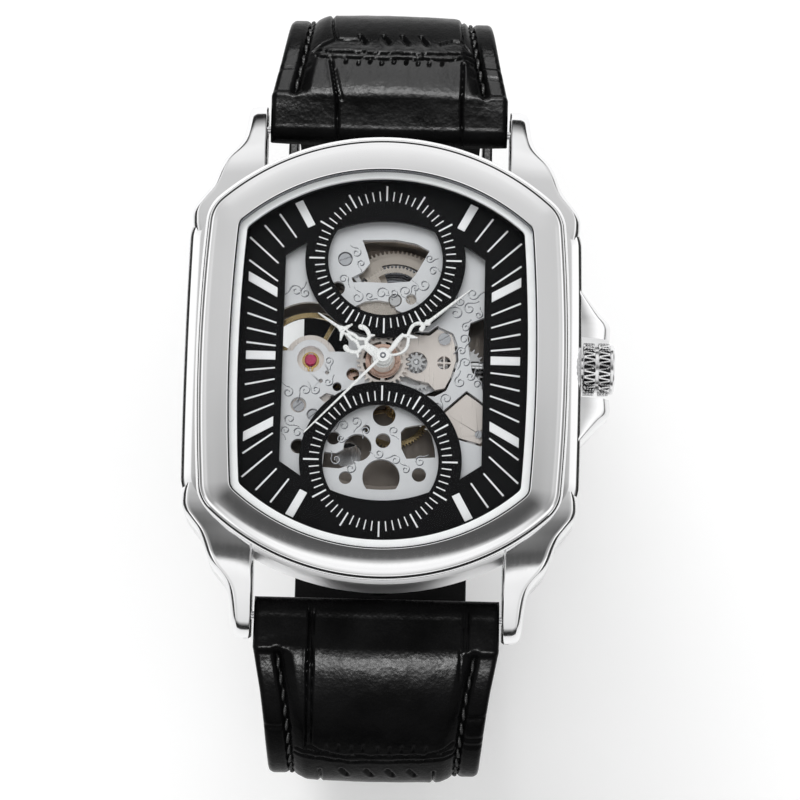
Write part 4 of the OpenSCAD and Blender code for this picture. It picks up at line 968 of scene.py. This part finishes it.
# copper washer on the hour wheel, pivot of the seconds hand, rim between plate and holder
v, f = collar(1.18, 1.72, 7.66, 0.07)
make("copper_washer", v, f, "rose_gold", "hours", 40)
v, f = collar(0.14, 0.30, 10.10, 0.03, 24)
make("seconds_eye", v, f, "spring_steel", "seconds", 40)
v, f = join([loft([[(r * math.cos(rad(3 * i)), r * math.sin(rad(3 * i)), z) for i in range(120)] for r, z in ((12.72, 7.352), (12.92, 7.352), (12.92, 7.36), (12.72, 7.36))], cap0=False, cap1=False, close_path=True)])
make("plate_rim", v, f, "silver_plate", "case", 40)

# gold lyre spring over the balance jewel
BX, BY = -7.05, 0.1


def wire(pts, r, n=8):
    pts = catmull(pts, 5)
    rings = []
    for i, p in enumerate(pts):
        a, b = Vector(pts[max(i - 1, 0)]), Vector(pts[min(i + 1, len(pts) - 1)])
        d = (b - a).normalized()
        s1 = d.cross(Vector((0, 0, 1)))
        s1 = s1.normalized() if s1.length > 1e-6 else Vector((1, 0, 0))
        s2 = s1.cross(d)
        rings.append([tuple(Vector(p) + r * (math.cos(rad(360 * k / n)) * s1 + math.sin(rad(360 * k / n)) * s2)) for k in range(n)])
    return loft(rings)


def lyre(sg):
    pts = [(0.10, -1.08), (0.22, -0.92), (0.16, -0.72), (0.42, -0.52), (0.60, -0.18), (0.60, 0.22), (0.42, 0.52), (0.26, 0.62)]
    return wire([(BX + sg * x, BY + y, 6.84) for x, y in pts], 0.075)


v, f = join([lyre(1), lyre(-1), wire([(BX + 0.78 * math.cos(rad(20 * i)), BY + 0.78 * math.sin(rad(20 * i)), 6.80) for i in range(19)], 0.05)])
make("shock_spring", v, f, "gold_wire", "case", 60)


# crown with two bands of interleaved notches; the notch faces are near-black as painted shade
def crown_ring(x, r, u=None):
    ring = []
    n = 24 * 14
    for i in range(n):
        t = (i / 14) % 1.0
        q = r
        if u is not None:
            for tc, k in ((0.5, u), (0.0, 1 - u)):
                d = abs((t - tc + 0.5) % 1.0 - 0.5)
                half = 0.27 * max(0.0, 1 - k * 1.12)
                if half > 0:
                    q = min(q, r - 0.34 * max(0.0, min(1.0, (half - d) / 0.07)))
        a = 2 * math.pi * i / n
        ring.append((x, q * math.cos(a), 6.2 + q * math.sin(a)))
    return ring


rows = [crown_ring(19.46, 1.3), crown_ring(19.46, 2.2), crown_ring(19.52, 2.42)]
rows += [crown_ring(19.58 + 1.02 * k / 12, 2.58, k / 12) for k in range(13)]
rows += [crown_ring(20.63, 2.36), crown_ring(20.68, 2.27), crown_ring(20.94, 2.27), crown_ring(20.99, 2.36)]
rows += [crown_ring(21.02 + 1.02 * k / 12, 2.58, k / 12) for k in range(13)]
rows += [crown_ring(22.07, 2.42), crown_ring(22.11, 2.32), crown_ring(22.16, 2.40), crown_ring(22.36, 2.42), crown_ring(22.46, 2.36), crown_ring(22.54, 2.22), crown_ring(22.58, 1.9), crown_ring(22.60, 1.2), crown_ring(22.60, 0.4)]
v, f = loft(rows)
# faces inside the notches get the painted-shade material
notch_shade_mask = []
for q in f:
    xm = sum(v[k][0] for k in q) / len(q)
    rm = sum(math.hypot(v[k][1], v[k][2] - 6.2) for k in q) / len(q)
    notch_shade_mask.append(1 if rm < 2.47 and (19.56 < xm < 20.61 or 21.01 < xm < 22.05) else 0)
cw = make("crown_knurled", v, f, "crown_steel", "crown", 28, ["crown_steel", "crown_notch_painted_shade"], notch_shade_mask)
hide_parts("crown")


# ------------------------------------------------------------------ finishes of the CAD nodes, and painted shade on the main plate
def finish_node(n, mat, bevel=0.0, seg=2, angle=32):
    o = N[n]
    me = o.data
    me.materials.clear()
    me.materials.append(MAT[mat])
    for p in me.polygons:
        p.material_index = 0
    if bevel > 0:
        if "custom_normal" in me.attributes:
            me.attributes.remove(me.attributes["custom_normal"])
        for p in me.polygons:
            p.use_smooth = True
        w = o.modifiers.new("weld", "WELD")
        w.merge_threshold = 1.5e-6
        b = o.modifiers.new("bevel", "BEVEL")
        b.width = bevel * MM
        b.segments = seg
        b.limit_method = "ANGLE"
        b.angle_limit = rad(angle)
        b.harden_normals = True
        b.use_clamp_overlap = False
        b.miter_outer = "MITER_ARC"


looks = {
    "back_crystal": ("clear_crystal", 0), "back_gasket": ("black_rubber", 0),
    "crown_gasket": ("black_rubber", 0), "dial_frame": ("black_dial", 0.03), "hour_markers": ("white_print", 0.03),
    "case_back": ("back_steel", 0.10), "case_back_screws": ("blued_screw", 0.04), "crown_tube": ("polished_steel", 0), 
    # main_plate gets the painted-shade dark tone
    "spring_bars": ("movement_steel", 0.05), "movement_ring": ("silver_plate", 0), "main_plate": ("painted_shade_plate", 0.03), "skeleton_plate": ("silver_plate", 0.05),
    "balance_cock": ("beige_bridge", 0.05), "minute_train_bridge": ("beige_bridge", 0.05), "keyless_cover": ("beige_bridge", 0.05), "automatic_bridge": ("silver_plate", 0.05),
    "pallet_bridge": ("silver_plate", 0.04), "movement_screws": ("blued_screw", 0.03), "jewels": ("ruby", 0.02), "barrel": ("drum", 0.02), "mainspring": ("spring_steel", 0),
    "barrel_arbor": ("movement_steel", 0.02), "ratchet_wheel": ("ratchet_beige", 0.015), "click": ("movement_steel", 0.03), "crown_wheel": ("movement_steel", 0.02),
    "intermediate_wheel": ("movement_steel", 0.02), "centre_wheel": ("rose_gold", 0.02), "third_wheel": ("gilt", 0.015), "fourth_wheel": ("gilt", 0.015),
    "escape_wheel": ("gilt", 0.01), "pallet_fork": ("movement_steel", 0.02), "balance_wheel": ("gilt", 0.03), "hairspring": ("spring_steel", 0),
    "cannon_pinion": ("movement_steel", 0.02), "minute_wheel": ("movement_steel", 0.015), "hour_wheel": ("beige_bridge", 0.02), "seconds_hand": ("hand_steel", 0.02), "rotor": ("rotor_plate", 0.05), "rotor_weight": ("tungsten", 0.08),
    "rotor_bearing": ("movement_steel", 0.03), "reversing_wheel": ("violet_alu", 0.02), "stem": ("movement_steel", 0.02), "winding_pinion": ("movement_steel", 0.015),
    "sliding_pinion": ("movement_steel", 0.015), "setting_lever": ("movement_steel", 0.02), "buckle_frame": ("case_steel", 0.35), "buckle_tongue": ("case_steel", 0.15),
    "buckle_bar": ("case_steel", 0.08), "fixed_keeper": ("black_leather", 0.30), "sliding_keeper": ("black_leather", 0.30),
}
for n, (mt, bv) in looks.items():
    finish_node(n, mt, bv, 4 if bv >= 0.3 else 2)


# ------------------------------------------------------------------ studio
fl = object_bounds()[0].z
bpy.ops.mesh.primitive_plane_add(size=8, location=(0, 0, fl - 0.00002))
floor = bpy.context.object
floor.name = "studio_floor"
fm_ = Mat("pale floor", Metallic=0.0, Specular_IOR_Level=0.2)
fm_.colour(fm_.noise(3, 3), (0.90, 0.90, 0.90), (0.93, 0.93, 0.93))
fm_.rough(fm_.noise(40, 4), 0.6, 0.75)
fm_.bump(fm_.noise(600, 3), 0.05, 0.05)
fm_.b.inputs["Emission Color"].default_value = (1, 1, 1, 1)
fm_.b.inputs["Emission Strength"].default_value = 0.11
floor.data.materials.append(fm_.m)
floor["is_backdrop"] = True

world = bpy.data.worlds.new("studio")
bpy.context.scene.world = world
world.use_nodes = True
wt = world.node_tree
for x in list(wt.nodes):
    wt.nodes.remove(x)
def wn(kind, **v):
    n = wt.nodes.new(kind)
    for k, x in v.items():
        setattr(n, k, x)
    return n


def wlink(a, b):
    wt.links.new(a, b)


wo, bg, wc = wn("ShaderNodeOutputWorld"), wn("ShaderNodeBackground"), wn("ShaderNodeTexCoord")
sep = wn("ShaderNodeSeparateXYZ")
wlink(wc.outputs["Generated"], sep.inputs[0])


def wramp(src, stops, interp="B_SPLINE"):
    """Colour ramp over a direction component that runs from -1 to 1."""
    mr = wn("ShaderNodeMapRange")
    mr.inputs["From Min"].default_value = -1
    mr.inputs["From Max"].default_value = 1
    wlink(src, mr.inputs["Value"])
    r = wn("ShaderNodeValToRGB")
    r.color_ramp.interpolation = interp
    el = r.color_ramp.elements
    for i, (p, c) in enumerate(stops):
        k = el[i] if i < 2 else el.new((p + 1) / 2)
        k.position = (p + 1) / 2
        k.color = (c, c, c, 1)
    wlink(mr.outputs["Result"], r.inputs["Fac"])
    return r.outputs["Color"]


def wmix(fac, a, b):
    m = wn("ShaderNodeMixRGB")
    for sock, val in (("Fac", fac), ("Color1", a), ("Color2", b)):
        if isinstance(val, (int, float)):
            m.inputs[sock].default_value = val if sock == "Fac" else (val, val, val, 1)
        else:
            wlink(val, m.inputs[sock])
    return m.outputs["Color"]


fore = wramp(sep.outputs["Y"], [(-1.0, 0.80), (1.0, 0.80), (-0.5, 1.0), (-0.34, 1.1), (-0.285, 1.1), (-0.25, 0.75), (-0.20, 0.17), (-0.18, 0.12), (-0.10, 0.09), (-0.05, 0.09), (0.0, 0.14), (0.08, 0.25), (0.17, 0.42), (0.24, 0.66), (0.5, 0.70), (0.66, 0.95), (0.82, 1.05)], "LINEAR")
side = wramp(sep.outputs["X"], [(-1.0, 1.0), (1.0, 1.0), (-0.44, 1.0), (-0.26, 0.0), (0.26, 0.0), (0.44, 1.0)], "EASE")
flat = wramp(sep.outputs["X"], [(-1.0, 1.6), (1.0, 1.6), (-0.72, 1.9), (-0.5, 0.62), (0.5, 0.64), (0.72, 1.9)], "EASE")
upper = wmix(side, fore, wmix(0.5, flat, fore))
low = wramp(sep.outputs["Z"], [(-1.0, 0.9), (1.0, 1.0), (-0.02, 0.9), (0.0, 0.03), (0.20, 0.02), (0.29, 0.5), (0.38, 1.0)], "LINEAR")
glossy = wn("ShaderNodeMixRGB")
glossy.blend_type = "MULTIPLY"
glossy.inputs["Fac"].default_value = 1.0
wlink(upper, glossy.inputs["Color1"])
wlink(low, glossy.inputs["Color2"])
lp = wn("ShaderNodeLightPath")
pick = wmix(lp.outputs["Is Camera Ray"], wmix(lp.outputs["Is Diffuse Ray"], glossy.outputs["Color"], 0.80), 0.98)
wlink(pick, bg.inputs["Color"])
bg.inputs["Strength"].default_value = 1.0
wlink(bg.outputs["Background"], wo.inputs["Surface"])


def area(name, loc, target, size, size_y, power, diffuse=True, glossy=True):
    d = bpy.data.lights.new(name, "AREA")
    d.energy = power
    d.shape = "RECTANGLE"
    d.size, d.size_y = size, size_y
    o = bpy.data.objects.new(name, d)
    o.location = loc
    o.rotation_mode = "QUATERNION"
    o.rotation_quaternion = (Vector(target) - Vector(loc)).to_track_quat("-Z", "Y")
    o.visible_diffuse, o.visible_glossy, o.visible_camera = diffuse, glossy, False
    bpy.context.scene.collection.objects.link(o)
    return o


def only(light, name, objs):
    """The light falls on these objects alone."""
    c = bpy.data.collections.new(name)
    for x in objs:
        c.objects.link(x)
    light.light_linking.receiver_collection = c


up_set = [up, bpy.data.objects["stitching_upper"], N["fixed_keeper"], N["sliding_keeper"]]
lw_set = [lw, bpy.data.objects["stitching_lower"]]
area("top_soft", (-0.30, 0.90, 1.10), (0, 0, 0), 0.7, 0.7, 9, True, False)
only(area("panel_far", (0, 1.23, 0.86), (0, 0, 0), 0.60, 1.25, 60.0, False, True), "far_receivers", up_set)
only(area("strip_far", (0, 0.62, 1.36), (0, 0, 0), 0.60, 0.10, 90.0, False, True), "strip_receivers", up_set)
only(area("panel_near", (0, -0.34, 1.46), (0, 0, 0), 0.45, 0.20, 84.0, False, True), "near_receivers", lw_set)

cam = bpy.data.cameras.new("camera")
cam.lens = 139.5
cam.sensor_width = 36
cam.clip_start = 0.01
cam.clip_end = 20
co = bpy.data.objects.new("camera", cam)
bpy.context.scene.collection.objects.link(co)
tl, ro = rad(13.0), rad(1.4)
back = Vector((0, -math.sin(tl), math.cos(tl)))
r0, u0 = Vector((1, 0, 0)), Vector((0, math.cos(tl), math.sin(tl)))
right = math.cos(ro) * r0 + math.sin(ro) * u0
upv = math.cos(ro) * u0 - math.sin(ro) * r0
from mathutils import Matrix
R = Matrix((right, upv, back)).transposed()
co.rotation_mode = "QUATERNION"
co.rotation_quaternion = R.to_quaternion()
co.location = Vector((1.75, -4.0, 8.3)) * MM + back * 0.300
bpy.context.scene.camera = co
vs = bpy.context.scene.view_settings
vs.view_transform = "Standard"
vs.look = "None"
vs.exposure = 0.0
vs.gamma = 1.0
